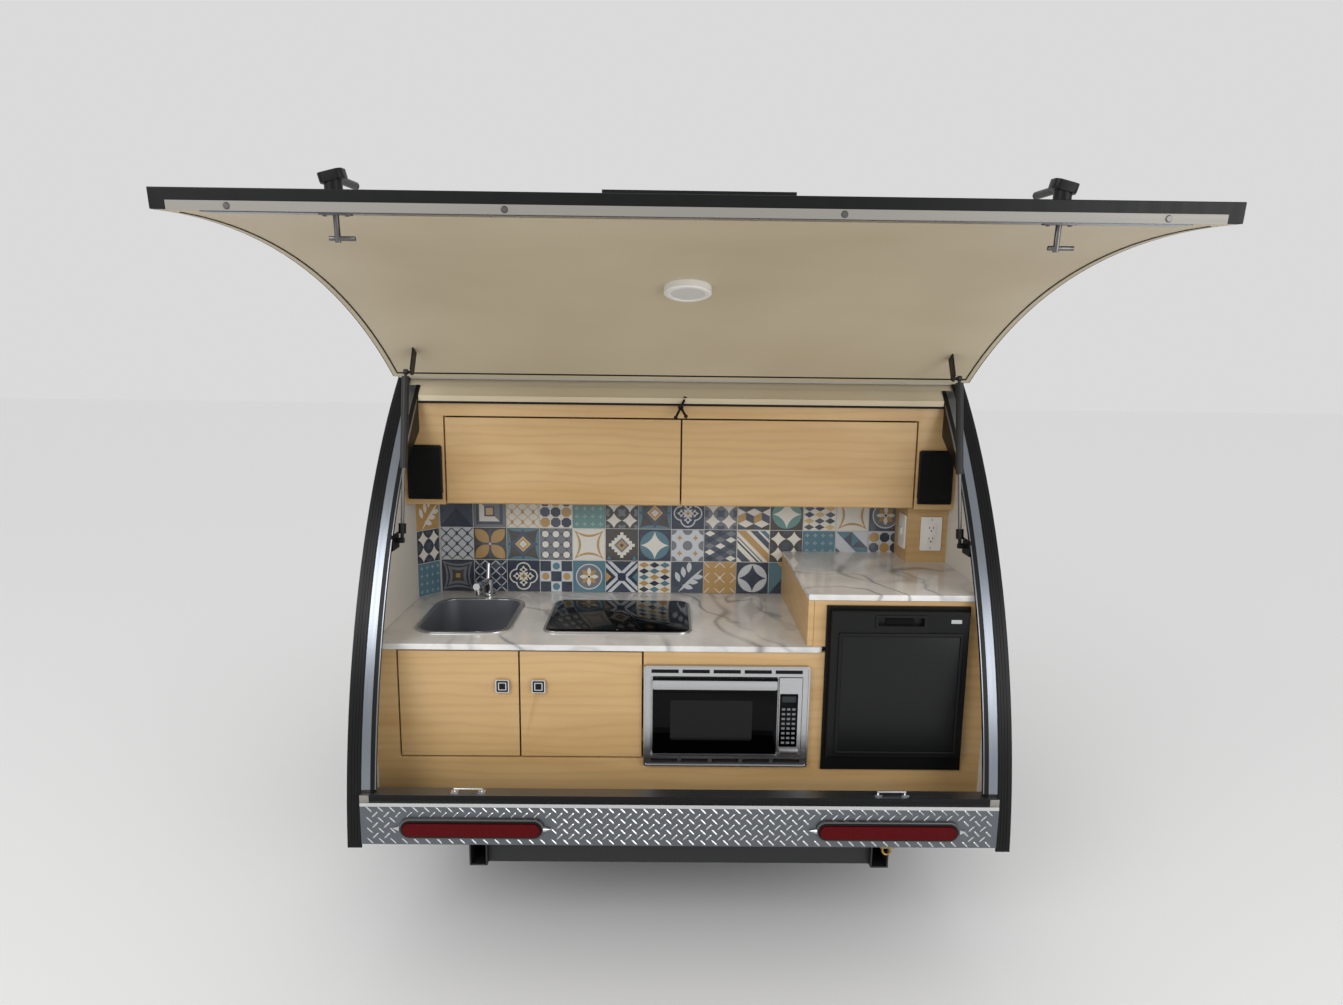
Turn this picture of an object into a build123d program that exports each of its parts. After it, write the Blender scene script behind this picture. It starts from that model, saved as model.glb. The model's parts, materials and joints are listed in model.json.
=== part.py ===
from build123d import *
import os
from math import acos, asin, atan2, cos, degrees, hypot, radians, sin

# Teardrop trailer with a rear galley under a lift-up hatch.
# Millimetres. X runs across the trailer, to the right as seen from behind.
# +Y is towards the coupler and +Z is up.
# While it is built, Y is measured from the plane that the rear arc touches, and Z from the ground.
# The finished pieces then move by origin_y, so that the model stands centred on its origin.

# Body shell
body_width = 1829.0
side_wall = 19.0
side_trim = 3.0
seat_gap = 0.5
edge_trim = 4.0
underside_z = 377.0
floor_thickness = 40.0
roof_thickness = 35.0
hatch_gap = 5.0
rear_radius = 1838.0
rear_centre_z = 276.5

# Side outline after the rear arc: each arc starts where the one before it ends
# columns: radius, turn from the rear at which the arc ends, in degrees
outline_arcs = [
    (rear_radius, 50.0),
    (1200.0, 78.0),
    (3800.0, 96.0),
    (680.0, 180.0),
    (1700.0, 216.0),
]

# Hatch
hinge_turn = 48.2
hinge_barrel_radius = 6.0
hinge_strip_thickness = 3.0
hatch_swing = 75.4
hatch_edge_z = 545.0
hatch_rim_width = 30.0
liner_thickness = 3.0
hatch_rail_width = 42.0
rail_sheet = 2.0
glue_gap = 0.3
latch_from_rail_end = 220.5
latch_reach = 44.0
latch_from_edge = 32.0
latch_rod = 10.0
latch_boss = 30.0
plate_holder_width = 330.0

# Rear jamb
jamb_trim_width = 39.0
jamb_strip_width = 25.0
jamb_seal_width = 12.0
jamb_return = 20.0
jamb_sheet = 3.0
sill_z = 533.0
sill_depth = 46.0
plate_top_z = 508.0
plate_bottom_z = 390.0
plate_thickness = 4.0

# Gas struts
strut_from_side = 92.5
strut_diameter = 22.0
rod_diameter = 10.0
stud_turn = 30.3
stud_inset = 47.3
hatch_pin_turn = 43.11
hatch_pin_inset = 67.6
cylinder_length = 285.0
collar_from_eye = (20.0, 50.0)
eye_reach = 6.0
eye_diameter = 16.0
pin_diameter = 8.0
pin_gap = 0.5
bracket_gap = 5.0
bracket_sheet = 4.0
bracket_eye_radius = 10.0
stud_plate_height = 46.0

# Black gussets that widen the jamb's inner web up to the upper cabinet
gusset_low_z = 1360.0
gusset_high_z = 1480.0
gusset_gap = 0.5

# Galley
counter_front_y = 195.0
splash_y = 755.0
tile_thickness = 8.0
corner_tile_width = 56.0
corner_tile_depth = 85.0
corner_tile_edge = 16.0
bulkhead_thickness = 18.0
counter_z = 897.0
raised_counter_z = 1054.0
counter_thickness = 18.0
divider_from_fridge = 53.0
panel = 18.0
thin_panel = 12.0
kick_setback = 40.0
hinge_block = 40.0
cabinet_front_y = 203.0
cabinet_base_z = 440.0
door_gap = 5.0
lower_door_from_wall = 72.5
lower_door_width = 347.5
lower_door_from_microwave = 6.0
lower_door_bottom_z = 551.0
knob_z = 771.0
knob_size = 26.0
knob_height = 10.0
knobs_from_gap = (48.0, 57.0)
upper_front_y = 562.0
upper_bottom_z = 1242.0
upper_door_top_z = 1524.0
upper_side_panel = 135.5
speaker_margin = 11.75
speaker_z = (1275.0, 1435.0)
column_width = 133.5
column_y = 610.0
outlet_from_wall = (20.5, 90.5)
outlet_z = (1095.0, 1209.0)

# Sink, cooktop, microwave and fridge
sink_from_wall = 81.5
sink_width = 294.0
sink_y = (287.0, 655.0)
sink_depth = 140.0
sink_wall = 2.0
sink_rim = 14.0
cooktop_x = (-418.0, 35.0)
cooktop_y = (298.0, 645.0)
cooktop_height = 8.0
cooktop_box_depth = 55.0
faucet_from_wall = 229.5
faucet_y = 700.0
microwave_width = 483.0
microwave_from_fridge = 42.0
microwave_margin = 22.0
microwave_z = (530.0, 840.0)
microwave_case_z = (565.0, 806.0)
microwave_depth = 340.0
microwave_control = 71.0
trim_thickness = 14.0
fridge_from_wall = 60.5
fridge_width = 414.0
fridge_z = (520.0, 1022.0)
fridge_depth = 470.0
fridge_wall = 30.0
fridge_flange = 10.0
fridge_flange_sheet = 8.0
fridge_plinth = 52.0
fridge_door = 26.0

# Side doors
door_y = (1580.0, 2240.0)
door_z = (500.0, 1640.0)
door_corner = 110.0
door_flange = 4.0
door_overlap = 14.0
door_hinge_inset = 260.0
knuckle_length = 30.0
knuckle_radius = 6.0
window_margin = 95.0
window_bottom_z = 1090.0
window_corner = 60.0
glass_thickness = 5.0

# Running gear and frame
axle_y = 1180.0
tyre_radius = 313.0
tyre_width = 178.0
rim_radius = 175.0
wheel_from_wall = 119.5
fender_clearance = 62.0
fender_sheet = 4.0
fender_width = 216.0
rail_x = 540.0
rail_width = 50.0
rail_height = 75.0
rail_wall = 4.0
axle_ahead = 150.0
axle_size = 60.0
spindle_diameter = 34.0
hub_clearance = 0.5
tongue_y = 3700.0
coupler_ball = 50.8
coupler_clearance = 0.4
coupler_nose_y = 3830.0
jack_y = 3380.0
jack_tube = 57.0
jack_leg_tube = 50.0
jack_foot = 150.0


# Values that follow from the sizes

half_width = body_width / 2
wall_outer = half_width - side_trim
wall_inner = wall_outer - side_wall
rear_centre = (rear_radius, rear_centre_z)
wheel_x = half_width + wheel_from_wall
upper_door_half = wall_inner - upper_side_panel
column_x = wall_inner - column_width
sink_x = (sink_from_wall - wall_inner, sink_from_wall + sink_width - wall_inner)
faucet_x = faucet_from_wall - wall_inner
fridge_x = (wall_inner - fridge_from_wall - fridge_width, wall_inner - fridge_from_wall)
divider_x = fridge_x[0] - divider_from_fridge
microwave_x = (fridge_x[0] - microwave_from_fridge - microwave_width, fridge_x[0] - microwave_from_fridge)
microwave_case_x = (microwave_x[0] + microwave_margin, microwave_x[1] - microwave_margin)
microwave_door_x = microwave_case_x[1] - microwave_control
lower_door_left_x = lower_door_from_wall - wall_inner
lower_door_right_x = microwave_x[0] - lower_door_from_microwave
lower_door_mid_x = lower_door_left_x + lower_door_width + door_gap / 2


# Helpers

def point_at(centre, radius, turn):
    """Point of an arc at a turn in degrees, 0 at the rear, 90 at the top."""
    return (centre[0] - radius * cos(radians(turn)), centre[1] + radius * sin(radians(turn)))


def turned(point, pivot, angle):
    """A (y, z) point swung about a pivot, positive from +Y towards +Z."""
    y, z = point[0] - pivot[0], point[1] - pivot[1]
    c, s = cos(radians(angle)), sin(radians(angle))
    return (pivot[0] + y * c - z * s, pivot[1] + y * s + z * c)


def box(x, y, z):
    """Box from (low, high) pairs."""
    size = (x[1] - x[0], y[1] - y[0], z[1] - z[0])
    middle = ((x[0] + x[1]) / 2, (y[0] + y[1]) / 2, (z[0] + z[1]) / 2)
    return Pos(*middle) * Box(*size)


def across(face, x_low, x_high):
    """A side-view face made solid between two X planes."""
    return Pos(x_low, 0, 0) * extrude(face, amount=x_high - x_low, dir=(1, 0, 0))


def side_edges(points):
    """Closed side-view face of straight edges through (y, z) points."""
    return make_face(Polyline(*[(0, y, z) for y, z in points], close=True))


def rod(start, end, diameter):
    """Round bar between two points."""
    run = Vector(*end) - Vector(*start)
    plane = Plane(origin=start, z_dir=run.normalized())
    return extrude(plane * Circle(diameter / 2), amount=run.length)


def both_sides(solid):
    """A solid and its mirror image on the other side."""
    return solid + mirror(solid, Plane.YZ)


def arcs_of(inset, bottom_z):
    """Centre, radius and turns of each arc of the side outline, moved inwards by inset."""
    rows = []
    centre = rear_centre
    radius_before = outline_arcs[0][0]
    turn = degrees(asin((bottom_z - centre[1]) / (radius_before - inset)))
    for radius, end in outline_arcs:
        step = radius_before - radius
        if step:
            centre = (centre[0] - step * cos(radians(turn)), centre[1] + step * sin(radians(turn)))
        rows.append([centre, radius - inset, turn, end])
        radius_before, turn = radius, end
    chin_centre, chin_radius = rows[-1][0], rows[-1][1]
    rows[-1][3] = 180 + degrees(asin((chin_centre[1] - bottom_z) / chin_radius))
    return rows


def side_face(inset, bottom_z=underside_z):
    """Side outline of the body as a face, moved inwards by inset and cut level at bottom_z."""
    edges = []
    for centre, radius, start, end in arcs_of(inset, bottom_z):
        middle = (start + end) / 2
        ends = [(0, *point_at(centre, radius, turn)) for turn in (start, middle, end)]
        edges.append(ThreePointArc(*ends))
    edges.append(Line(edges[-1] @ 1, edges[0] @ 0))
    return make_face(edges)


def rear_band(inner, outer, turn_low, turn_high):
    """Side-view band along the rear arc, between two distances outside it and two turns."""
    turns = (turn_low, (turn_low + turn_high) / 2, turn_high)
    low = [(0, *point_at(rear_centre, rear_radius + inner, turn)) for turn in turns]
    high = [(0, *point_at(rear_centre, rear_radius + outer, turn)) for turn in turns]
    edges = [ThreePointArc(*low), Line(low[2], high[2]), ThreePointArc(*high[::-1]), Line(high[0], low[0])]
    return make_face(edges)


def turn_at(z, outside=0.0):
    """Turn of the rear arc at a height."""
    return degrees(asin((z - rear_centre_z) / (rear_radius + outside)))


def roof_under_z(y):
    """Height of the rear arc above a Y, a little under the roof skin."""
    return rear_centre_z + (rear_radius**2 - (rear_radius - y) ** 2) ** 0.5 - 2 * edge_trim


def rear_y(z, outside=0.0):
    """Y of the rear arc at a height."""
    return point_at(rear_centre, rear_radius + outside, turn_at(z, outside))[0]


# Places worked out from the sizes

hinge = point_at(rear_centre, rear_radius + hatch_gap + roof_thickness, hinge_turn)
sill_turn = turn_at(sill_z) + 0.2
hatch_edge_turn = turn_at(hatch_edge_z)
hatch_inner = hatch_gap
hatch_outer = hatch_gap + roof_thickness
jamb_outer_x = half_width - jamb_trim_width
jamb_seal_x = jamb_outer_x - jamb_strip_width
jamb_inner_x = jamb_seal_x - jamb_seal_width
strut_x = half_width - strut_from_side
latch_x = jamb_inner_x - latch_from_rail_end
floor_z = underside_z + floor_thickness
bulkhead_y = splash_y + tile_thickness
cabin_y = bulkhead_y + bulkhead_thickness
free_edge = turned(point_at(rear_centre, rear_radius + hatch_outer, hatch_edge_turn), hinge, -hatch_swing)
origin_y = (coupler_nose_y + free_edge[0]) / 2
os.makedirs("parts", exist_ok=True)


def keep(name, solid):
    """Write one piece, moved so that the model is centred on its origin."""
    solids = list(solid.solids())
    piece = Compound(solids) if len(solids) > 1 else solids[0]
    piece = Pos(0, -origin_y, 0) * piece
    piece.label = name
    export_step(piece, os.path.join("parts", name + ".step"))


def keep_pair(name, solid):
    """Write a right-hand piece and its mirror image."""
    keep(name + "_right", solid)
    keep(name + "_left", mirror(solid, Plane.YZ))


# Side walls, each with its doorway

def rounded_side(y, z, corner):
    """Side-view rounded rectangle."""
    middle = Pos(0, (y[0] + y[1]) / 2, (z[0] + z[1]) / 2)
    return middle * (Plane.YZ * RectangleRounded(y[1] - y[0], z[1] - z[0], corner))


def widened(pair, margin):
    return (pair[0] - margin, pair[1] + margin)


wall_solid = across(side_face(edge_trim), wall_inner, wall_outer)
doorway = rounded_side(widened(door_y, door_gap), widened(door_z, door_gap), door_corner + door_gap)
door_hinge_x = wall_outer + door_gap + door_flange
door_hinge_y = door_y[1] + door_gap + door_overlap


def knuckle(z_low, z_high, radius):
    """Round length of a side door's hinge."""
    return rod((door_hinge_x, door_hinge_y, z_low), (door_hinge_x, door_hinge_y, z_high), 2 * radius)


side_wall_right = wall_solid - across(doorway, wall_inner - 1, wall_outer + 1)
leaf_cuts = Part()
door_knuckles = Part()
for hinge_z in (door_z[0] + door_hinge_inset, door_z[1] - door_hinge_inset):
    for end in (-1, 1):
        ends_z = sorted((hinge_z + end * knuckle_length / 2, hinge_z + end * knuckle_length * 1.5))
        side_wall_right += knuckle(*ends_z, knuckle_radius)
        side_wall_right += box((wall_outer, door_hinge_x), (door_hinge_y, door_hinge_y + 24), ends_z)
        leaf_cuts += knuckle(ends_z[0] - seat_gap, ends_z[1] + seat_gap, knuckle_radius + 1)
    leaf_z = widened((hinge_z - knuckle_length / 2, hinge_z + knuckle_length / 2), -seat_gap)
    door_knuckles += knuckle(*leaf_z, knuckle_radius)
keep_pair("side_wall", side_wall_right)

# Roof skin, from the hinge over the top and down to the chin

past = 3000.0
behind_hinge = side_edges([
    rear_centre,
    point_at(rear_centre, past, hinge_turn),
    (-past, past),
    (-past, -past),
    (rear_centre[0], -past),
])
roof_ring = side_face(-hatch_outer) - side_face(edge_trim)
roof_side = roof_ring - behind_hinge
vent_y = (1750.0, 2110.0)
vent_half = 180.0
roof_shell = across(roof_side, -wall_outer, wall_outer)
roof_shell -= box((-vent_half, vent_half), vent_y, (rear_radius, past))
strip_top = hatch_outer + hinge_strip_thickness
strip_face = rear_band(hatch_outer - 1, strip_top, hinge_turn, hinge_turn + 1.3)
hinge_strip = across(strip_face, -wall_outer, wall_outer)
hinge_barrel = rod((-wall_outer, *hinge), (wall_outer, *hinge), 2 * hinge_barrel_radius)
keep("roof_shell", roof_shell + hinge_strip + hinge_barrel)

# Black edge trims: a strip on the rear edge of each wall and an angle along the roof's side edges

rear_low = turn_at(underside_z)
side_strip = side_face(-hatch_outer) - side_face(edge_trim + hatch_rim_width)
roof_trim = across(side_strip - behind_hinge, wall_outer, half_width)
jamb_trim = across(rear_band(-edge_trim, 0, rear_low, hinge_turn), jamb_outer_x, wall_outer)
jamb_trim += across(rear_band(-edge_trim - hatch_rim_width, 0, rear_low, hinge_turn), wall_outer, half_width)
keep("edge_trims", both_sides(roof_trim + jamb_trim))

# Aluminium jamb that the hatch closes on, with the seal in its inner edge

jamb_top = hinge_turn - 1
jamb_face = across(rear_band(-edge_trim, -1, sill_turn, jamb_top), jamb_seal_x, jamb_outer_x)
web_top = degrees(acos((rear_radius - upper_front_y) / (rear_radius - jamb_return))) - 0.1
web_face = rear_band(-jamb_return, -edge_trim, sill_turn, web_top)
jamb_web = across(web_face, jamb_inner_x, jamb_inner_x + jamb_sheet)
back_face = rear_band(-edge_trim - jamb_sheet, -edge_trim, sill_turn, jamb_top)
jamb_back = across(back_face, jamb_inner_x, wall_inner)
header_band = rear_band(-edge_trim - jamb_sheet, -edge_trim, jamb_top - 1.3, jamb_top)
jamb_header = across(header_band, -jamb_inner_x, jamb_inner_x)

stud = point_at(rear_centre, rear_radius - stud_inset, stud_turn)
stud_low = strut_x + strut_diameter / 2 + pin_gap
stud_pin = rod((stud_low, *stud), (jamb_inner_x, *stud), pin_diameter)
stud_plate_x = (jamb_inner_x - bracket_sheet, jamb_inner_x)
plate_z = (stud[1] - stud_plate_height / 2, stud[1] + stud_plate_height / 2)
stud_plate = box(stud_plate_x, (rear_y(stud[1]) + 8, stud[0] + bracket_eye_radius + 4), plate_z)
gusset_zone = side_edges([
    (rear_y(gusset_low_z), gusset_low_z),
    (rear_y(gusset_low_z) + jamb_return, gusset_low_z),
    (upper_front_y - gusset_gap, gusset_high_z),
    (upper_front_y - gusset_gap, past),
    (0, past),
])
gusset_ring = side_face(edge_trim) & gusset_zone
gusset = across(gusset_ring, jamb_inner_x, jamb_inner_x + jamb_sheet)
jamb_side = jamb_face + jamb_web + jamb_back + stud_pin + stud_plate + gusset
keep("jamb_frame", both_sides(jamb_side) + jamb_header)

seal_side = across(rear_band(-edge_trim, 0, sill_turn, jamb_top), jamb_inner_x, jamb_seal_x)
keep("hatch_seal", both_sides(seal_side))

# Rear sill with its ledge, bumper plate, lamps and strikers

ledge_x = jamb_outer_x - 0.5
ledge = box((-ledge_x, ledge_x), (plate_thickness, sill_depth), (plate_top_z, sill_z))
sill_web = box((-wall_inner, wall_inner), (sill_depth - panel, sill_depth), (floor_z, plate_top_z))

lamp_x = (377.0, 764.0)
lamp_z = (415.0, 465.0)
lamp_proud = 14.0


def lamp_face(margin):
    """Stadium outline of a tail lamp on the bumper plate."""
    centre = Pos((lamp_x[0] + lamp_x[1]) / 2, 0, (lamp_z[0] + lamp_z[1]) / 2)
    height = lamp_z[1] - lamp_z[0] + 2 * margin
    return centre * (Plane.XZ * SlotOverall(lamp_x[1] - lamp_x[0] + 2 * margin, height))


def lamp_solid(margin, y_low, y_high):
    return Pos(0, y_high, 0) * extrude(lamp_face(margin), amount=y_high - y_low, dir=(0, -1, 0))


plate_x = jamb_outer_x - 1
bumper = box((-plate_x, plate_x), (0, plate_thickness), (plate_bottom_z, plate_top_z))
bumper -= both_sides(lamp_solid(-6, -1, plate_thickness + 1))
bumper_flange_z = (plate_bottom_z, plate_bottom_z + plate_thickness)
bumper += box((-plate_x, plate_x), (plate_thickness, sill_depth), bumper_flange_z)
lens = lamp_solid(-6.3, -lamp_proud, plate_thickness + 10)
lens = lens + lamp_solid(0, -6, 0)
keep("tail_lamps", both_sides(lens))

striker_x = 583.0
striker_span = 80.0
striker_y = 24.0
striker_rise = 9.0
striker_top = sill_z + striker_rise
striker_wire = 6.0
striker_ends = [(striker_x + end * striker_span / 2, striker_y, striker_top) for end in (-1, 1)]
striker = rod(*striker_ends, striker_wire)
for end in (-1, 1):
    foot_x = striker_x + end * (striker_span / 2 - striker_wire / 2)
    striker += rod((foot_x, striker_y, sill_z), (foot_x, striker_y, striker_top), striker_wire)
    striker += Pos(foot_x, striker_y, sill_z + 1.5) * Box(20, 14, 3)
keep("rear_sill", ledge + sill_web + both_sides(striker))

# Floor, galley bulkhead with its tiles, and mattress

floor_zone = side_edges([(sill_depth, 0), (past, 0), (past, floor_z), (sill_depth, floor_z)])
floor_side = side_face(edge_trim, underside_z) & floor_zone
keep("floor_deck", across(floor_side, -wall_inner, wall_inner))

bulkhead_zone = side_edges([(bulkhead_y, floor_z), (cabin_y, floor_z), (cabin_y, past), (bulkhead_y, past)])
bulkhead_side = side_face(edge_trim) & bulkhead_zone
keep("bulkhead", across(bulkhead_side, -wall_inner, wall_inner))
tiles = box((-wall_inner, wall_inner), (splash_y, bulkhead_y), (counter_z, upper_bottom_z))
corner_points = [
    (-wall_inner, splash_y + 1),
    (-wall_inner, splash_y - corner_tile_depth),
    (-wall_inner + corner_tile_width, splash_y - corner_tile_edge),
    (-wall_inner + corner_tile_width, splash_y + 1),
]
corner_face = make_face(Polyline(*[(x, y, counter_z) for x, y in corner_points], close=True))
keep("tile_splash", tiles + extrude(corner_face, amount=upper_bottom_z - counter_z, dir=(0, 0, 1)))

mattress_thickness = 130.0
mattress_y = (cabin_y + 15, 2640.0)
mattress = box((-wall_inner + 12, wall_inner - 12), mattress_y, (floor_z + 0.3, floor_z + mattress_thickness))
keep("mattress", chamfer(mattress.edges(), 20))

# Lower cabinet: face frame, base, partitions

frame_top_z = counter_z - counter_thickness
case_x = widened(microwave_case_x, 3)
case_z = widened(microwave_case_z, 3)
shelf_y = (cabinet_front_y + panel, bulkhead_y)
raised_under_z = raised_counter_z - counter_thickness
face_y = (cabinet_front_y, cabinet_front_y + panel)
face = box((-wall_inner, wall_inner), face_y, (cabinet_base_z, frame_top_z))
face += box((divider_x + panel, wall_inner), face_y, (counter_z, raised_under_z))
face += box((fridge_x[1], wall_inner), face_y, (frame_top_z - 1, raised_under_z))
doors_opening_x = (lower_door_left_x - door_gap, lower_door_right_x + door_gap)
face -= box(doors_opening_x, (0, past), (lower_door_bottom_z - door_gap, counter_z))
face -= box(widened(case_x, seat_gap), (0, past), widened(case_z, seat_gap))
fridge_margin = seat_gap - fridge_flange
face -= box(widened(fridge_x, fridge_margin), (0, past), widened(fridge_z, fridge_margin))
shelf = box((-wall_inner, wall_inner), shelf_y, (cabinet_base_z, cabinet_base_z + panel))
kick_y = (cabinet_front_y + kick_setback, cabinet_front_y + kick_setback + panel)
shelf += box((-wall_inner, wall_inner), kick_y, (floor_z, cabinet_base_z))
partition_z = (cabinet_base_z + panel, frame_top_z)
partition_x = (lower_door_right_x + door_gap, lower_door_right_x + door_gap + thin_panel)
partitions = box(partition_x, shelf_y, (partition_z[0], counter_z - cooktop_box_depth - 2))
fridge_side_x = (fridge_x[0] - 3 - panel, fridge_x[0] - 3)
partitions += box(fridge_side_x, shelf_y, partition_z)
oven_shelf_z = (case_z[0] - seat_gap - panel, case_z[0] - seat_gap)
shelves = box((partition_x[0] + thin_panel / 2, fridge_side_x[0]), shelf_y, oven_shelf_z)
shelves += box((fridge_side_x[0], wall_inner), shelf_y, (fridge_z[0] - panel, fridge_z[0]))
block_y = (shelf_y[0], shelf_y[0] + thin_panel)
block_left_x = (lower_door_left_x - 30, lower_door_left_x + 20)
block_right_x = (lower_door_right_x - 25, lower_door_right_x + door_gap + 1)
for block_x in (block_left_x, block_right_x):
    for block_z in (lower_door_bottom_z + hinge_block, frame_top_z - 90):
        shelves += box(block_x, block_y, (block_z, block_z + hinge_block))
keep("lower_cabinet", face + shelf + partitions + shelves)

# Counters

main_end = fridge_x[0] - 7
through_z = (counter_z - 50, counter_z + 50)
sink_hole = box(widened(sink_x, -sink_rim + 2), widened(sink_y, -sink_rim + 2), through_z)
sink_hole = fillet(sink_hole.edges().filter_by(Axis.Z), 60)
counter = box((-wall_inner, main_end), (counter_front_y, splash_y), (frame_top_z, counter_z))
counter = fillet(counter.edges().filter_by(Axis.Z).sort_by(Axis.Y)[:2].sort_by(Axis.X)[-1:], 15)
cook_hole = box(widened(cooktop_x, -12), widened(cooktop_y, -12), through_z)
keep("counter_main", counter - sink_hole - cook_hole)
raised = box((divider_x, wall_inner), (counter_front_y + 3, splash_y), (raised_under_z, raised_counter_z))
raised += box((divider_x, divider_x + panel), (counter_front_y + 8, splash_y), (counter_z, raised_under_z))
keep("counter_raised", raised)

# Sink basin and tap

bowl_outer = box(widened(sink_x, -sink_rim), widened(sink_y, -sink_rim), (counter_z - sink_depth, counter_z))
bowl_outer = fillet(bowl_outer.edges().filter_by(Axis.Z), 58)
bowl_outer = chamfer(bowl_outer.faces().sort_by(Axis.Z)[0].edges(), 24)
inset = -sink_rim - sink_wall
bowl_z = (counter_z - sink_depth + sink_wall, counter_z + 20)
bowl_inner = box(widened(sink_x, inset), widened(sink_y, inset), bowl_z)
bowl_inner = fillet(bowl_inner.edges().filter_by(Axis.Z), 56)
bowl_inner = chamfer(bowl_inner.faces().sort_by(Axis.Z)[0].edges(), 23)
rim = box(sink_x, sink_y, (counter_z, counter_z + 3))
rim = fillet(rim.edges().filter_by(Axis.Z), 70)
keep("sink_basin", rim + bowl_outer - bowl_inner)

faucet = Pos(faucet_x, faucet_y, counter_z + 4) * Cylinder(26, 8)
faucet += rod((faucet_x, faucet_y, counter_z), (faucet_x, faucet_y, counter_z + 60), 40)
faucet += rod((faucet_x, faucet_y, counter_z + 52), (faucet_x, faucet_y - 170, counter_z + 78), 22)
faucet += rod((faucet_x, faucet_y - 160, counter_z + 50), (faucet_x, faucet_y - 160, counter_z + 80), 20)
faucet += rod((faucet_x, faucet_y + 6, counter_z + 55), (faucet_x, faucet_y + 22, counter_z + 110), 14)
keep("faucet", faucet)

# Cooktop

cooktop = box(cooktop_x, cooktop_y, (counter_z, counter_z + cooktop_height))
cooktop = fillet(cooktop.edges().filter_by(Axis.Z), 14)
cooktop_box_z = (counter_z - cooktop_box_depth, counter_z)
cooktop += box(widened(cooktop_x, -14), widened(cooktop_y, -14), cooktop_box_z)
keep("cooktop", cooktop)

# Microwave: trim frame with louvres, case with its cavity, and door

trim_front = cabinet_front_y - trim_thickness
trim = box(microwave_x, (trim_front, cabinet_front_y), microwave_z)
trim = fillet(trim.edges().filter_by(Axis.Y), 8)
trim -= box(widened(microwave_case_x, 2), (0, past), widened(microwave_case_z, 2))
louvre_count = 5
louvre_gap = 11.0
louvre_height = 11.0
louvre_pitch = (microwave_case_x[1] - microwave_case_x[0] + louvre_gap) / louvre_count
louvre_rows = ((microwave_z[0] + microwave_case_z[0]) / 2, (microwave_z[1] + microwave_case_z[1]) / 2)
for middle_z in louvre_rows:
    for column in range(louvre_count):
        low_x = microwave_case_x[0] + column * louvre_pitch
        slot_x = (low_x, low_x + louvre_pitch - louvre_gap)
        slot_z = (middle_z - louvre_height / 2, middle_z + louvre_height / 2)
        trim -= box(slot_x, (trim_front - 1, trim_front + trim_thickness / 2), slot_z)

case_front = trim_front - 2
seat_y = cabinet_front_y - 1
case_wall = 18.0
cavity_x = (case_x[0] + case_wall, microwave_door_x - 8)
case_back_y = cabinet_front_y + microwave_depth
case = box(case_x, (seat_y, case_back_y), case_z)
case += box((microwave_door_x + door_gap, microwave_case_x[1]), (case_front, seat_y), microwave_case_z)
case -= box(cavity_x, (0, case_back_y - case_wall), widened(case_z, -case_wall))
keep("microwave_case", trim + case)
oven_x = (microwave_case_x[0] + 4, microwave_door_x)
oven_z = widened(microwave_case_z, -4)
keep("microwave_door", box(oven_x, (case_front, seat_y - seat_gap), oven_z))

# Fridge: insulated case in its mounting flange, with a plinth under the door

flange_front = cabinet_front_y - fridge_flange_sheet
fridge_back = cabinet_front_y + fridge_depth
body_x = widened(fridge_x, -fridge_flange)
body_z = widened(fridge_z, -fridge_flange)
fridge_case = box(fridge_x, (flange_front, cabinet_front_y), fridge_z)
fridge_case += box(body_x, (flange_front, fridge_back), body_z)
cool_door_z = (fridge_z[0] + fridge_plinth, fridge_z[1] - fridge_flange)
room_z = widened(cool_door_z, -fridge_wall)
fridge_case -= box(widened(body_x, -fridge_wall), (0, fridge_back - fridge_wall), room_z)
keep("fridge_case", fridge_case)
cool_door_y = (flange_front - seat_gap - fridge_door, flange_front - seat_gap)
cool_door = box(body_x, cool_door_y, cool_door_z)
grip_width = 140.0
grip_z = (cool_door_z[1] - 45, cool_door_z[1] - 12)
grip_middle = (body_x[0] + body_x[1]) / 2
grip_x = (grip_middle - grip_width / 2, grip_middle + grip_width / 2)
cool_door -= box(grip_x, (0, cool_door_y[0] + 14), grip_z)
keep("fridge_door", cool_door)

# Upper cabinet with speaker panels, header rail and doors' openings

upper_zone = side_edges([
    (upper_front_y, upper_bottom_z),
    (bulkhead_y, upper_bottom_z),
    (bulkhead_y, past),
    (upper_front_y, past),
])
upper_side = side_face(edge_trim + jamb_sheet + 1) & upper_zone
upper_solid = across(upper_side, -wall_inner, wall_inner)
upper_room = side_edges([
    (upper_front_y + panel, upper_bottom_z + panel),
    (bulkhead_y - 6, upper_bottom_z + panel),
    (bulkhead_y - 6, roof_under_z(bulkhead_y) - panel),
    (upper_front_y + panel, roof_under_z(upper_front_y + panel) - panel),
])
upper = upper_solid - across(upper_room, -upper_door_half, upper_door_half)
doors_z = (upper_bottom_z + 5, upper_door_top_z)
mouth_x = (-upper_door_half, upper_door_half)
mouth_z = (upper_bottom_z + panel, upper_door_top_z - 10)
upper -= box(mouth_x, (0, upper_front_y + panel + 1), mouth_z)
upper -= box(widened(mouth_x, door_gap), (0, upper_front_y + panel), widened(doors_z, door_gap))
keep("upper_cabinet", upper)

door_leaf = box((door_gap / 2, upper_door_half), (upper_front_y, upper_front_y + panel - seat_gap), doors_z)
keep_pair("upper_door", door_leaf)

speaker_x = (upper_door_half + speaker_margin, wall_inner - speaker_margin)
speaker = box(speaker_x, (upper_front_y - 8, upper_front_y), speaker_z)
keep("speakers", both_sides(fillet(speaker.edges().filter_by(Axis.Y), 8)))

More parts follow.
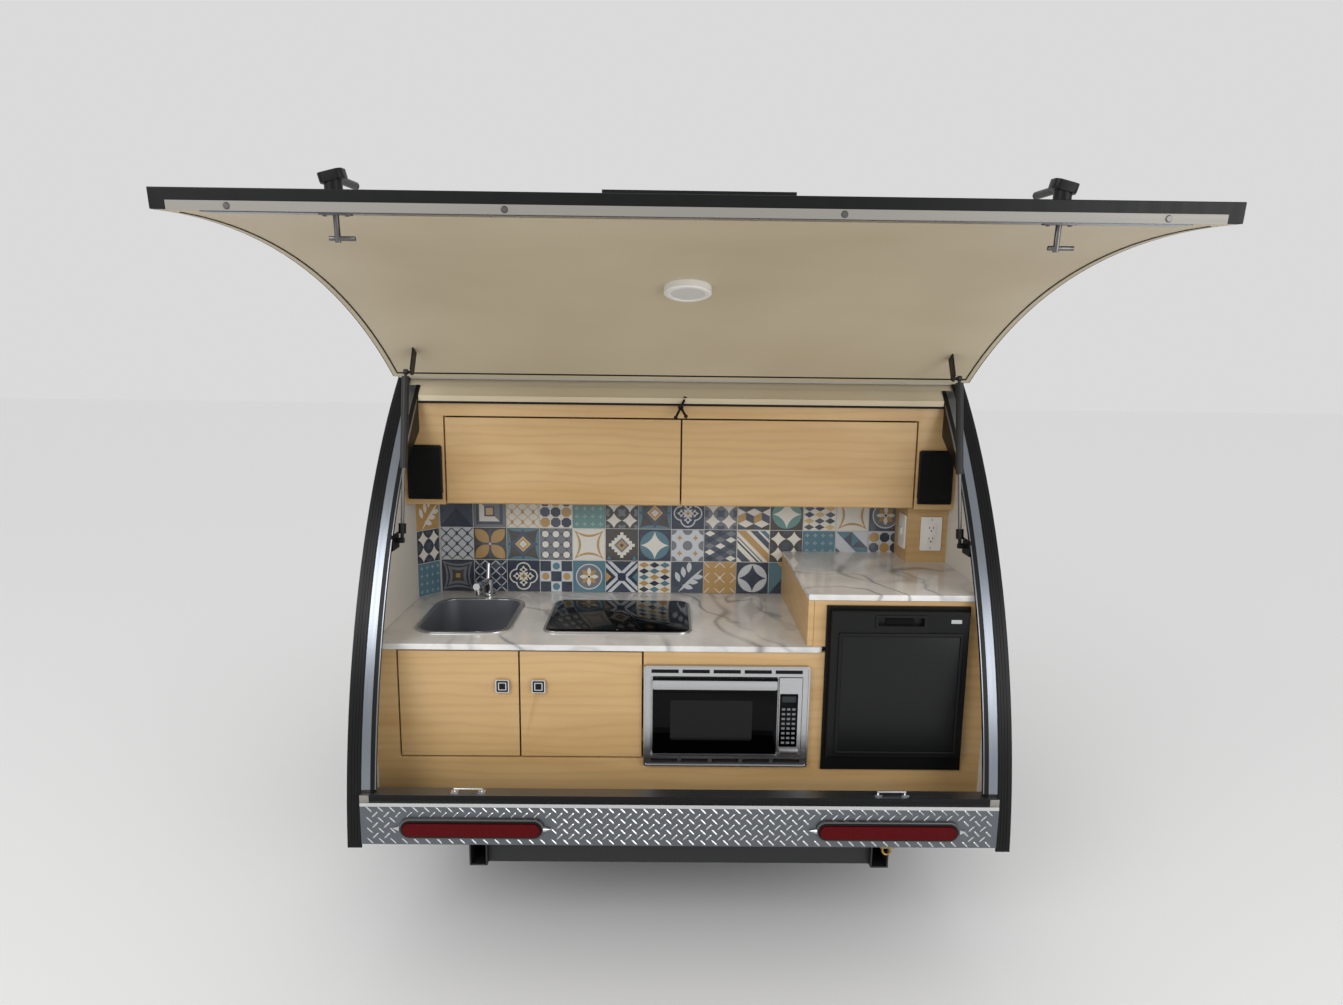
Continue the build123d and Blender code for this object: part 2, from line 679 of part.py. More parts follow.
column = box((column_x, wall_inner), (column_y, splash_y), (raised_counter_z, upper_bottom_z))
outlet_x = (wall_inner - outlet_from_wall[1], wall_inner - outlet_from_wall[0])
column += box(outlet_x, (column_y - 5, column_y), outlet_z)
keep("outlet_column", column)

# Lower doors with their square push knobs

def lower_door(x_low, x_high, knob_x):
    leaf_y = (cabinet_front_y, cabinet_front_y + panel - seat_gap)
    leaf = box((x_low, x_high), leaf_y, (lower_door_bottom_z, frame_top_z - door_gap))
    knob = Pos(knob_x, cabinet_front_y - knob_height / 2, knob_z) * Box(knob_size, knob_height, knob_size)
    return leaf + fillet(knob.edges().filter_by(Axis.Y), 3)


left_leaf_x = (lower_door_left_x, lower_door_mid_x - door_gap / 2)
right_leaf_x = (lower_door_mid_x + door_gap / 2, lower_door_right_x)
keep("lower_door_left", lower_door(*left_leaf_x, lower_door_mid_x - knobs_from_gap[0]))
keep("lower_door_right", lower_door(*right_leaf_x, lower_door_mid_x + knobs_from_gap[1]))

# Hatch: shell, edge bands and hardware, all modelled closed and swung open about the hinge

def opened(solid):
    """A piece of the closed hatch swung to the open position in which the model rests."""
    to_hinge = Pos(0, *hinge)
    back = Pos(0, -hinge[0], -hinge[1])
    return to_hinge * Rot(-hatch_swing, 0, 0) * back * solid


hatch_top = hinge_turn - 0.2
hatch_turns = (hatch_edge_turn + 0.35, hatch_top)
shell_x = (-half_width + side_trim, half_width - side_trim)
shell_band = rear_band(hatch_inner + liner_thickness, hatch_outer, *hatch_turns)
keep("hatch_shell", opened(across(shell_band, *shell_x)))
liner_band = rear_band(hatch_inner, hatch_inner + liner_thickness, *hatch_turns)
keep("hatch_liner", opened(across(liner_band, *shell_x)))

side_band = rear_band(hatch_inner, hatch_outer, hatch_edge_turn, hatch_top)
side_bands = across(side_band, half_width - side_trim, half_width)
end_band = across(rear_band(hatch_inner, hatch_outer, hatch_edge_turn, hatch_turns[0]), *shell_x)
keep("hatch_trim", opened(both_sides(side_bands) + end_band))

rail_turn = degrees(hatch_rail_width / rear_radius)
rail_turns = (hatch_edge_turn + 0.4, hatch_edge_turn + 0.4 + rail_turn)
rail_band = rear_band(hatch_inner - rail_sheet - glue_gap, hatch_inner - glue_gap, *rail_turns)
rail = across(rail_band, -jamb_inner_x, jamb_inner_x)
latch_turn = hatch_edge_turn + degrees(latch_from_edge / rear_radius)


def radial(turn, distance, x):
    """A point inside the closed hatch, a distance in from the rear arc."""
    return (x, *point_at(rear_centre, rear_radius - distance, turn))


latch_root = -hatch_inner + seat_gap
latch_ends = [radial(latch_turn, distance, latch_x) for distance in (latch_root, latch_reach)]
latch_inside = rod(*latch_ends, latch_rod)
arm_ends = (latch_x - 14, latch_x + 30)
latch_inside += rod(*(radial(latch_turn, latch_reach - 7, x) for x in arm_ends), 8)
grip_distance = -hatch_outer - 22
boss_ends = [radial(latch_turn, distance, latch_x) for distance in (-hatch_outer, grip_distance - 6)]
latch_outside = rod(*boss_ends, latch_boss)
grip_turns = (latch_turn, latch_turn + 3.2)
latch_outside += rod(*(radial(turn, grip_distance, latch_x) for turn in grip_turns), 14)
latch = latch_inside + latch_outside
hole_ends = [radial(latch_turn, distance, latch_x) for distance in (-hatch_inner - 1, 9)]
rail -= both_sides(rod(*hole_ends, latch_rod + 1))
keep("hatch_rail", opened(rail))

pin_closed = point_at(rear_centre, rear_radius - hatch_pin_inset, hatch_pin_turn)
pin_open = turned(pin_closed, hinge, -hatch_swing)


def bracket_plate(pin, x_low, x_high):
    """Plate that carries a strut pin on the inside of the closed hatch."""
    radius = hypot(rear_centre[0] - pin[0], pin[1] - rear_centre[1])
    turn = degrees(atan2(pin[1] - rear_centre[1], rear_centre[0] - pin[0]))
    depth = rear_radius - radius
    foot = rear_band(-depth, hatch_inner, turn - 0.55, turn + 0.55)
    eye = Pos(0, *pin) * (Plane.YZ * Circle(bracket_eye_radius))
    return across(foot, x_low, x_high) + across(eye, x_low, x_high)


bracket_high = strut_x - strut_diameter / 2 - bracket_gap
bracket_low = bracket_high - bracket_sheet
hatch_bracket = bracket_plate(pin_closed, bracket_low, bracket_high)
hatch_bracket += rod((bracket_low, *pin_closed), (strut_x + 7, *pin_closed), pin_diameter)

holder_turn = hatch_edge_turn + 0.9
holder_face = rear_band(hatch_outer, hatch_outer + 8, holder_turn, holder_turn + 3.2)
holder = across(holder_face, -plate_holder_width / 2, plate_holder_width / 2)
keep("hatch_fittings", opened(both_sides(latch + hatch_bracket) + holder))
puck_turn = 30.0
puck = rod(radial(puck_turn, -hatch_inner, 0), radial(puck_turn, 10, 0), 120)
puck -= across(rear_band(hatch_inner, hatch_outer, 20, 40), -80, 80)
keep("puck_light", opened(puck))

# Gas struts, modelled at the open length between the hatch pin and the wall stud

strut_run = (stud[0] - pin_open[0], stud[1] - pin_open[1])
strut_open = hypot(*strut_run)
strut_dir = (strut_run[0] / strut_open, strut_run[1] / strut_open)


def on_strut(distance):
    return (strut_x, pin_open[0] + strut_dir[0] * distance, pin_open[1] + strut_dir[1] * distance)


strut_eye = Rot(0, 90, 0) * Cylinder(eye_diameter / 2, 10)
bore_depth = cylinder_length - 20
cylinder = rod(on_strut(14), on_strut(cylinder_length), strut_diameter)
cylinder += rod(on_strut(5), on_strut(16), 9)
cylinder -= rod(on_strut(cylinder_length - bore_depth), on_strut(cylinder_length + 1), rod_diameter + 1)
pin_hole = Rot(0, 90, 0) * Cylinder(pin_diameter / 2 + pin_gap, 30)
cylinder = cylinder + Pos(*on_strut(0)) * strut_eye - Pos(*on_strut(0)) * pin_hole
keep_pair("strut_cylinder", cylinder)

rod_start = cylinder_length - 60
strut_rod = rod(on_strut(rod_start), on_strut(strut_open - 4), rod_diameter)
strut_rod += rod(*(on_strut(strut_open - distance) for distance in collar_from_eye[::-1]), strut_diameter)
eye_end = Plane.YZ * Circle(eye_diameter / 2)
strut_rod += across(Pos(0, *stud) * eye_end, strut_x - eye_reach, strut_x + strut_diameter / 2)
keep_pair("strut_rod", strut_rod)

# Side doors with their windows

leaf_outer = wall_outer + door_gap + door_flange
flange_margin = door_gap + door_overlap
window_y = widened(door_y, -window_margin)
window_z = (window_bottom_z, door_z[1] - window_margin)
flange_sides = (widened(door_y, flange_margin), widened(door_z, flange_margin))
flange_side = rounded_side(*flange_sides, door_corner + flange_margin)
leaf = across(rounded_side(door_y, door_z, door_corner), wall_inner, leaf_outer)
leaf += across(flange_side, leaf_outer - door_flange, leaf_outer)
leaf -= across(rounded_side(window_y, window_z, window_corner), wall_inner - 1, leaf_outer + 1)
leaf = leaf - leaf_cuts + door_knuckles
handle_z = 1010.0
handle = box((leaf_outer, leaf_outer + 18), (door_y[0] + 20, door_y[0] + 62), (handle_z - 60, handle_z + 60))
leaf += fillet(handle.edges().filter_by(Axis.X), 8)
keep_pair("door", leaf)
glass_x = (wall_outer - 4, wall_outer - 4 + glass_thickness)
glass_sides = (widened(window_y, -glue_gap), widened(window_z, -glue_gap))
glass_side = rounded_side(*glass_sides, window_corner - glue_gap)
keep_pair("door_glass", across(glass_side, *glass_x))

# Roof vent base and lid

roof_top_z = side_face(-hatch_outer).bounding_box().max.Z
vent_wall = 22.0
lid_rise = 31.0
lid_height = 31.0
vent_x = (-vent_half, vent_half)
curb_z = (roof_top_z - 60, roof_top_z + 26)
vent_base = box(widened(vent_x, -seat_gap), widened(vent_y, -seat_gap), curb_z)
vent_base += box(widened(vent_x, 25), widened(vent_y, 25), (roof_top_z + 1, roof_top_z + 6))
vent_base -= box(widened(vent_x, -vent_wall), widened(vent_y, -vent_wall), (0, past))
vent_base += box((-60, 60), (vent_y[1] - 4, vent_y[1] + 22), (roof_top_z + 1, roof_top_z + lid_rise - 0.3))
keep("roof_vent_base", vent_base)
lid_z = (roof_top_z + lid_rise, roof_top_z + lid_rise + lid_height)
lid = box(widened(vent_x, 12), widened(vent_y, 12), lid_z)
lid = fillet(lid.faces().sort_by(Axis.Z)[-1].edges(), 22)
lid -= box(widened(vent_x, -4), widened(vent_y, -4), (0, roof_top_z + 50))
keep("roof_vent_lid", lid)

# Chassis

rail_z = (underside_z - rail_height, underside_z)


def tube_box(x, y, z, wall):
    """Rectangular tube along Y."""
    return box(x, y, z) - box(widened(x, -wall), widened(y, 1), widened(z, -wall))


rail_front_y = 2560.0
rails = both_sides(tube_box((rail_x, rail_x + rail_width), (40, rail_front_y), rail_z, rail_wall))
cross_y = [60.0, 760.0, 1500.0, 2050.0, 2500.0]
for y in cross_y:
    rails += box((-rail_x, rail_x), (y, y + rail_width), rail_z)
keep("chassis_rails", rails)

# Tongue: two bars that meet behind the coupler

tongue_start = (rail_x + rail_width / 2, rail_front_y)
tongue_end = (30.0, tongue_y)
tongue_angle = degrees(atan2(tongue_start[0] - tongue_end[0], tongue_end[1] - tongue_start[1]))
tongue_length = hypot(tongue_start[0] - tongue_end[0], tongue_end[1] - tongue_start[1])
tray_y = (2870.0, 3330.0)
tray_thickness = 6.0


def bar_x(y):
    """X of the middle of a tongue bar at a Y."""
    share = (y - tongue_start[1]) / (tongue_end[1] - tongue_start[1])
    return tongue_start[0] + (tongue_end[0] - tongue_start[0]) * share


bar = Box(rail_width, tongue_length, rail_height)
bar_mid = ((tongue_start[0] + tongue_end[0]) / 2, (tongue_start[1] + tongue_end[1]) / 2)
tongue = both_sides(Pos(*bar_mid, underside_z - rail_height / 2) * Rot(0, 0, tongue_angle) * bar)
tongue += box((-bar_x(jack_y), bar_x(jack_y)), (jack_y - 70, jack_y + 70), (underside_z, underside_z + 8))
tongue -= Pos(0, jack_y, underside_z) * Cylinder(jack_tube / 2 + 0.4, 100)
tray_back, tray_front = tray_y
tray_face = make_face(Polyline(
    (-bar_x(tray_back), tray_back, underside_z),
    (bar_x(tray_back), tray_back, underside_z),
    (bar_x(tray_front), tray_front, underside_z),
    (-bar_x(tray_front), tray_front, underside_z),
    close=True,
))
tongue += extrude(tray_face, amount=tray_thickness, dir=(0, 0, 1))
tongue -= box((-past, past), (0, rail_front_y + 1), (0, past))
keep("tongue_frame", tongue)

nose_radius = 46.0
nose_height = 70.0
nose_chamfer = 18.0
coupler = box((-42, 42), (tongue_y - 120, tongue_y), (underside_z, underside_z + 62))
nose_y = coupler_nose_y - nose_radius
nose = Pos(0, nose_y, underside_z + nose_height / 2) * Cylinder(nose_radius, nose_height)
coupler += chamfer(nose.edges().group_by(Axis.Z)[-1], nose_chamfer)
coupler += box((-36, 36), (tongue_y - 10, nose_y), (underside_z - 2, underside_z + 60))
coupler -= box((-past, past), (0, 2 * past), (0, underside_z))
socket = Cylinder(coupler_ball / 2 + coupler_clearance, 60)
coupler -= Pos(0, nose_y, underside_z + 12) * socket
keep("coupler", coupler)

# Tongue jack

jack_top_z = 760.0
jack_low_z = 270.0
jack_cap = 20.0
jack_leg_top_z = 480.0
jack_plate = 10.0


def upright(z_low, z_high, diameter):
    """Round piece of the jack between two heights."""
    return Pos(0, jack_y, (z_low + z_high) / 2) * Cylinder(diameter / 2, z_high - z_low)


jack_housing = upright(jack_low_z, jack_top_z, jack_tube)
jack_housing += upright(underside_z + 9, underside_z + 20, jack_tube + 24)
jack_housing -= upright(jack_low_z - 1, jack_top_z - jack_cap, jack_leg_tube + 1)
jack_housing += upright(jack_top_z, jack_top_z + 32, 30)
jack_housing += box((-8, 8), (jack_y, jack_y + 112), (jack_top_z + 14, jack_top_z + 26))
jack_housing += Pos(0, jack_y + 104, jack_top_z + 56) * Cylinder(11, 64)
keep("jack_housing", jack_housing)
jack_leg = upright(jack_plate - 1, jack_leg_top_z, jack_leg_tube)
jack_leg += box((-jack_foot / 2, jack_foot / 2), (jack_y - jack_foot / 2, jack_y + jack_foot / 2), (0, jack_plate))
keep("jack_leg", jack_leg)

# Axle with trailing arms and spindles

beam_y = axle_y + axle_ahead
beam_z = (rail_z[0] - axle_size, rail_z[0])
beam_end = half_width - 44.5
axle = box((-beam_end, beam_end), (beam_y - axle_size / 2, beam_y + axle_size / 2), beam_z)
arm_mid_z = (beam_z[0] + beam_z[1]) / 2
arm_x = (beam_end, beam_end + 28)
beam_eye = 40.0
spindle_eye = 34.0
arm_web = side_edges([
    (beam_y, arm_mid_z + beam_eye),
    (axle_y, tyre_radius + spindle_eye),
    (axle_y, tyre_radius - spindle_eye),
    (beam_y, arm_mid_z - beam_eye),
])
arm = across(arm_web, *arm_x)
arm += across(Pos(0, beam_y, arm_mid_z) * (Plane.YZ * Circle(beam_eye)), *arm_x)
arm += across(Pos(0, axle_y, tyre_radius) * (Plane.YZ * Circle(spindle_eye)), *arm_x)
spindle = rod((arm_x[1] - 1, axle_y, tyre_radius), (wheel_x + 38, axle_y, tyre_radius), spindle_diameter)
drum = rod((wall_outer + 8, axle_y, tyre_radius), (wall_outer + 30, axle_y, tyre_radius), 190)
keep("axle", axle + both_sides(arm + spindle + drum))

# Wheels

def wheel_ring(profile):
    """Ring turned about the axle from (x from the wheel's middle, radius) points."""
    line = Polyline(*[(wheel_x + x, axle_y, tyre_radius + r) for x, r in profile], close=True)
    return revolve(make_face(line), Axis((0, axle_y, tyre_radius), (1, 0, 0)), 360)


half_tyre = tyre_width / 2
tyre_profile = [
    (-half_tyre + 10, rim_radius),
    (-half_tyre, rim_radius + 70),
    (-half_tyre + 28, tyre_radius),
    (half_tyre - 28, tyre_radius),
    (half_tyre, rim_radius + 70),
    (half_tyre - 10, rim_radius),
]
tyre_right = wheel_ring(tyre_profile)
keep_pair("tyre", tyre_right)

half_rim = half_tyre - 14
hub_radius = 44.0
hub_bore = spindle_diameter / 2 + hub_clearance
rim_ring = wheel_ring([
    (-half_rim, rim_radius - 18),
    (-half_rim, rim_radius - 0.3),
    (half_rim, rim_radius - 0.3),
    (half_rim, rim_radius - 18),
    (half_rim - 12, rim_radius - 10),
    (-half_rim + 12, rim_radius - 10),
])
disc = wheel_ring([(20, hub_bore), (20, rim_radius - 9), (30, rim_radius - 9), (30, hub_bore)])
window_count = 8
for index in range(window_count):
    around = Rot(360 / window_count * index, 0, 0)
    disc -= Pos(wheel_x, axle_y, tyre_radius) * around * Pos(27, 0, 108) * (Rot(0, 90, 0) * Cylinder(24, 40))
hub = wheel_ring([(-70, hub_bore), (-70, 62), (20, 62), (20, hub_bore)])
cap = wheel_ring([(30, hub_bore), (30, hub_radius), (38, 36), (64, 28), (64, 0), (46, 0), (46, hub_bore)])
keep_pair("rim", rim_ring + disc + hub + cap)

# Fenders

fender_radius = tyre_radius + fender_clearance
fender_x = (wall_outer, wall_outer + fender_width)
fender_low_z = tyre_radius - 40
fender_lip = 22.0
fender_zone = side_edges([(0, fender_low_z), (past, fender_low_z), (past, past), (0, past)])


def fender_band(depth):
    """Side-view arch over the wheel, its inner edge a depth inside the fender's sheet."""
    ring = Circle(fender_radius + fender_sheet) - Circle(fender_radius - depth)
    return Pos(0, axle_y, tyre_radius) * (Plane.YZ * ring) & fender_zone


fender = across(fender_band(0), *fender_x)
fender += across(fender_band(fender_lip), fender_x[1] - fender_sheet, fender_x[1])
keep("fenders", both_sides(fender))

# Front stone guard on the chin, gas bottle and battery box on the tongue

guard_ring = side_face(-hatch_outer - 3) - side_face(-hatch_outer)
guard_top_z = 960.0
guard_zone = side_edges([
    (rear_centre[0], underside_z),
    (2 * past, underside_z),
    (2 * past, guard_top_z),
    (rear_centre[0], guard_top_z),
])
keep("tread_plates", bumper + across(guard_ring & guard_zone, -wall_outer, wall_outer))

tray_top_z = underside_z + tray_thickness
bottle_y = 3185.0
bottle_radius = 130.0
bottle_foot = 14.0
bottle_height = 290.0
bottle_bevel = 45.0
collar_radius = 95.0
collar_height = 70.0
ring_height = 42.0
bottle_mid_z = tray_top_z + bottle_foot + bottle_height / 2
bottle = Pos(0, bottle_y, bottle_mid_z) * Cylinder(bottle_radius, bottle_height)
bottle = chamfer(bottle.edges().group_by(Axis.Z)[0] + bottle.edges().group_by(Axis.Z)[-1], bottle_bevel)


def ring(radius, height, z_low):
    """Sheet ring of the gas bottle's foot or collar."""
    return Pos(0, bottle_y, z_low + height / 2) * (Cylinder(radius, height) - Cylinder(radius - 5, height))


collar_z = tray_top_z + bottle_foot + bottle_height - 10
collar = ring(collar_radius, collar_height, collar_z)
collar -= box((-40, 40), (bottle_y, bottle_y + bottle_radius), (collar_z + 15, collar_z + collar_height + 1))
bottle += ring(collar_radius, ring_height, tray_top_z) + collar
bottle += Pos(0, bottle_y, collar_z + 25) * Cylinder(20, 60)
keep("gas_bottle", bottle)

battery_y = (2876.0, 3036.0)
battery_half = 165.0
battery_box = box((-battery_half, battery_half), battery_y, (tray_top_z, tray_top_z + 190))
battery_box = fillet(battery_box.edges().filter_by(Axis.Z), 16)
lid_x = widened((-battery_half, battery_half), 6)
battery_lid = box(lid_x, widened(battery_y, 6), (tray_top_z + 150, tray_top_z + 182))
keep("battery_box", battery_box + fillet(battery_lid.edges().filter_by(Axis.Z), 18))
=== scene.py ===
# %% [markdown]
# # Teardrop trailer with a rear galley
#
# A small camping trailer seen from behind. Its rear hatch is up on two gas struts, over a kitchen of birch
# cupboards, a marble worktop and a wall of patterned tiles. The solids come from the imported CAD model,
# and this notebook gives them their finishes and adds the details that solids leave plain.

# %% Tools and the CAD frame
import json
import math

import bmesh
import bpy
from mathutils import Matrix, Vector

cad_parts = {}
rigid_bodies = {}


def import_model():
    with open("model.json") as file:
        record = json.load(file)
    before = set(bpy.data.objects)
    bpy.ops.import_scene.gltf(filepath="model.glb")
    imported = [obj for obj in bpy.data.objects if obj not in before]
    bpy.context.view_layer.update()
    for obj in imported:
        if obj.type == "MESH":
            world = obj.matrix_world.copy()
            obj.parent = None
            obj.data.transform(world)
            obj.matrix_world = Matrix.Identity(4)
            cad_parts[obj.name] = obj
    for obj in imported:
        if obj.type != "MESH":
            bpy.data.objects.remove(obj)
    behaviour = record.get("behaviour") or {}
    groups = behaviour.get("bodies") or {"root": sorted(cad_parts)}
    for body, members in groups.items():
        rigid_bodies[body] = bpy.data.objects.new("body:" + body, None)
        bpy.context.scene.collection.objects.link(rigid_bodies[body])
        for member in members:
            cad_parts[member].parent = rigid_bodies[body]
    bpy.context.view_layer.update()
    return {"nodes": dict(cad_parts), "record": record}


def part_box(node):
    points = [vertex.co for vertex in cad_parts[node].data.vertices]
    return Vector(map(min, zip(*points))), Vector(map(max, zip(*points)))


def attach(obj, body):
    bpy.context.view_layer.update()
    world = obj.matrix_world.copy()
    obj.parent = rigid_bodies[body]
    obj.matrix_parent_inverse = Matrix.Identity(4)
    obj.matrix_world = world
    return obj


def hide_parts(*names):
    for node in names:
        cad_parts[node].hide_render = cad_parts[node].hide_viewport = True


for leftover in list(bpy.data.objects):
    bpy.data.objects.remove(leftover)
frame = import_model()
bodies = frame["record"]["behaviour"]["bodies"]
body_of_node = {node: body for body, members in bodies.items() for node in members}
slot_of_node = {row["node"]: row["material_slot"] for row in frame["record"]["subparts"]}
GALLEY_DEPTH = 0.763
rear_plane_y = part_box("bulkhead")[0].y - GALLEY_DEPTH
SIDES = (("left", -1), ("right", 1))


# %% [markdown]
# ## Colours and material helper
#
# Each finish is one principled shader whose colour, roughness and bump may come from procedural noise.
# A small class strings the nodes together, so that a finish reads as a list of what it is made of.

# %% Finish helper
def srgb(code):
    """Linear colour of a web colour code."""
    parts = [int(code[i : i + 2], 16) / 255 for i in (0, 2, 4)]
    linear = [c / 12.92 if c <= 0.04045 else ((c + 0.055) / 1.055) ** 2.4 for c in parts]
    return (*linear, 1.0)


FINISHES = {}


class Finish:
    """A procedural material on Object coordinates."""

    def __init__(self, name, colour="808080", roughness=0.5, metallic=0.0, coat=0.0, shine=0.5):
        self.material = bpy.data.materials.new(name)
        self.material.use_nodes = True
        self.tree = self.material.node_tree
        self.shader = self.tree.nodes["Principled BSDF"]
        self.shader.inputs["Base Color"].default_value = srgb(colour)
        self.shader.inputs["Roughness"].default_value = roughness
        self.shader.inputs["Metallic"].default_value = metallic
        self.shader.inputs["Coat Weight"].default_value = coat
        self.shader.inputs["Specular IOR Level"].default_value = shine
        self.coordinates = self.node("ShaderNodeTexCoord").outputs["Object"]
        FINISHES[name] = self

    def node(self, kind, values=(), **settings):
        """A shader node with its settings and its sockets' values."""
        made = self.tree.nodes.new(kind)
        for key, value in settings.items():
            setattr(made, key, value)
        for socket, value in dict(values).items():
            made.inputs[socket].default_value = value
        return made

    def link(self, source, target):
        self.tree.links.new(source, target)

    def texture(self, kind, stretch, values, **settings):
        """A texture on Object coordinates, stretched by a scale for each axis."""
        made = self.node(kind, values, **settings)
        mapping = self.node("ShaderNodeMapping", {"Scale": stretch})
        self.link(self.coordinates, mapping.inputs["Vector"])
        self.link(mapping.outputs["Vector"], made.inputs["Vector"])
        return made.outputs

    def noise(self, scale, detail=4.0, stretch=(1, 1, 1), distortion=0.0, rough=0.5):
        values = {"Scale": scale, "Detail": detail, "Roughness": rough, "Distortion": distortion}
        return self.texture("ShaderNodeTexNoise", stretch, values)["Fac"]

    def bands(self, scale, stretch, distortion, direction="Z"):
        """Wavy bands across one axis, such as growth rings or ribs."""
        values = {"Scale": scale, "Distortion": distortion, "Detail": 3.0}
        kind = dict(wave_type="BANDS", bands_direction=direction)
        return self.texture("ShaderNodeTexWave", stretch, values, **kind)["Fac"]

    def cells(self, scale):
        return self.texture("ShaderNodeTexVoronoi", (1, 1, 1), {"Scale": scale})["Distance"]

    def fill(self, socket, value):
        """Link an output to a socket, or set a colour code or a number on it."""
        if isinstance(value, bpy.types.NodeSocket):
            self.link(value, socket)
        else:
            socket.default_value = srgb(value) if isinstance(value, str) else value

    def math(self, operation, first, second):
        """One arithmetic step between outputs or plain numbers."""
        made = self.node("ShaderNodeMath", operation=operation)
        for socket, value in zip(made.inputs, (first, second)):
            self.fill(socket, value)
        return made.outputs[0]

    def ramp(self, source, *stops):
        """Colour ramp through (place, colour code) stops."""
        made = self.node("ShaderNodeValToRGB")
        elements = made.color_ramp.elements
        while len(elements) < len(stops):
            elements.new(0.5)
        for element, (place, code) in zip(elements, stops):
            element.position = place
            element.color = srgb(code)
        self.link(source, made.inputs["Fac"])
        return made.outputs["Color"]

    def mixed(self, factor, first, second):
        """Two colours, each a code or an output, mixed by an output."""
        made = self.node("ShaderNodeMix", data_type="RGBA")
        colours = [socket for socket in made.inputs if socket.type == "RGBA"]
        for socket, value in zip(colours, (first, second)):
            self.fill(socket, value)
        self.fill(made.inputs["Factor"], factor)
        return next(socket for socket in made.outputs if socket.type == "RGBA")

    def colour(self, source):
        self.link(source, self.shader.inputs["Base Color"])
        return self

    def rough(self, source, low, high):
        """Roughness that follows a texture between two values."""
        made = self.node("ShaderNodeMapRange", {"To Min": low, "To Max": high})
        self.link(source, made.inputs["Value"])
        self.link(made.outputs["Result"], self.shader.inputs["Roughness"])
        return self

    def bump(self, source, strength, distance):
        made = self.node("ShaderNodeBump", {"Strength": strength, "Distance": distance})
        self.link(source, made.inputs["Height"])
        self.link(made.outputs["Normal"], self.shader.inputs["Normal"])
        return self

    def worn(self, scale, low, high, **noise):
        """Roughness that wanders between two values."""
        return self.rough(self.noise(scale, **noise), low, high)

    def grained(self, scale, strength, distance, detail=2):
        """A fine grain in the surface."""
        return self.bump(self.noise(scale, detail=detail), strength, distance)


# %% [markdown]
# ## Paints, plastics and rubber
#
# The shell is painted aluminium sheet and the edge trims are black extrusions with fine ribs along them.
# Plastics get a faint grain, and rubber is matt with a little dust in its colour. The black finishes
# reflect less than the shader's default, or they would look grey under the open sky.

# %% Paint, plastic and rubber
shell_paint = Finish("shell_paint", "cccac4", 0.32, coat=0.4).grained(3, 0.05, 0.002)
black_trim = Finish("black_trim", "070809", 0.36, shine=0.25).worn(60, 0.28, 0.5, stretch=(1, 0.1, 0.1))
black_plastic = Finish("black_plastic", "0a0b0c", 0.42, shine=0.25).grained(900, 0.12, 0.0003)
white_plastic = Finish("white_plastic", "e6e4df", 0.35).worn(40, 0.28, 0.42)
bottle_paint = Finish("bottle_paint", "dcdcd8", 0.35, coat=0.3).grained(160, 0.06, 0.0004)
lamp_red = Finish("lamp_red", "4e0106", 0.12, shine=0.12)
lamp_red.bump(lamp_red.bands(90, (1, 0, 0), 0.0, "X"), 0.35, 0.0008)
tyre_rubber = Finish("tyre", "1c1c1d", 0.8)
tyre_rubber.colour(tyre_rubber.ramp(tyre_rubber.noise(25, detail=6), (0.35, "161617"), (0.75, "2a2928")))
seal_rubber = Finish("seal_rubber", "080809", 0.6, shine=0.25).worn(80, 0.5, 0.7)
black_glass = Finish("black_glass", "020203", 0.06, shine=0.12).worn(12, 0.04, 0.1)

# %% [markdown]
# ## Metals
#
# Brushed steel has its scratches along X. The jamb is an aluminium extrusion. The tread plate is one
# aluminium in two colours: its lugs are lighter, a painted highlight, and its ground darker, painted shade.

# %% Metals
ALONG_X, ALONG_YZ = (0.05, 1, 1), (1, 0.03, 0.03)
steel_bright = Finish("steel_bright", "bfc0c2", 0.28, metallic=1.0)
scratches = steel_bright.noise(240, detail=3, stretch=(0.02, 1, 1))
steel_bright.rough(scratches, 0.2, 0.42).bump(scratches, 0.08, 0.0002)
dark_steel = Finish("dark_steel", "6b6a69", 0.3, metallic=1.0).worn(200, 0.22, 0.42, stretch=ALONG_X)
chrome = Finish("chrome", "cfd0d2", 0.08, metallic=1.0).worn(30, 0.05, 0.14)
wheel_alloy = Finish("wheel_alloy", "a7a9ac", 0.3, metallic=1.0).worn(90, 0.24, 0.4)
frame_steel = Finish("frame_steel", "17181a", 0.48).grained(120, 0.15, 0.0006, detail=5)
# Tread plate ground: a darker colour as painted shade. The lugs' lighter colour below is a painted
# highlight.
tread_metal_painted_shade = Finish("tread_plate", "6f747a", 0.42, metallic=1.0).worn(35, 0.34, 0.52, detail=5)
lug_metal_painted_highlight = Finish("lug_metal_painted_highlight", "d3d4d5", 0.24, metallic=1.0).worn(60, 0.18, 0.34)
jamb_metal = Finish("jamb_metal", "868b93", 0.32, metallic=1.0).worn(160, 0.2, 0.4, stretch=ALONG_YZ)
sink_steel = Finish("sink_steel", "8b9098", 0.42, metallic=0.7).worn(160, 0.34, 0.5, stretch=ALONG_X)
sill_metal = Finish("sill_metal", "7d8084", 0.42, metallic=1.0).worn(120, 0.34, 0.5, stretch=ALONG_X)
edge_strip = Finish("edge_strip", "8f8c86", 0.5, metallic=0.5).worn(120, 0.42, 0.6, stretch=(0.03, 1, 1))
brass = Finish("brass", "b08d4a", 0.3, metallic=1.0)

# %% [markdown]
# ## Birch plywood
#
# The cupboards are clear-coated birch ply with its grain along X. Two stretched noises give the broad
# figure and the fine fibres, and a wavy band texture gives the long arches of a peeled veneer.

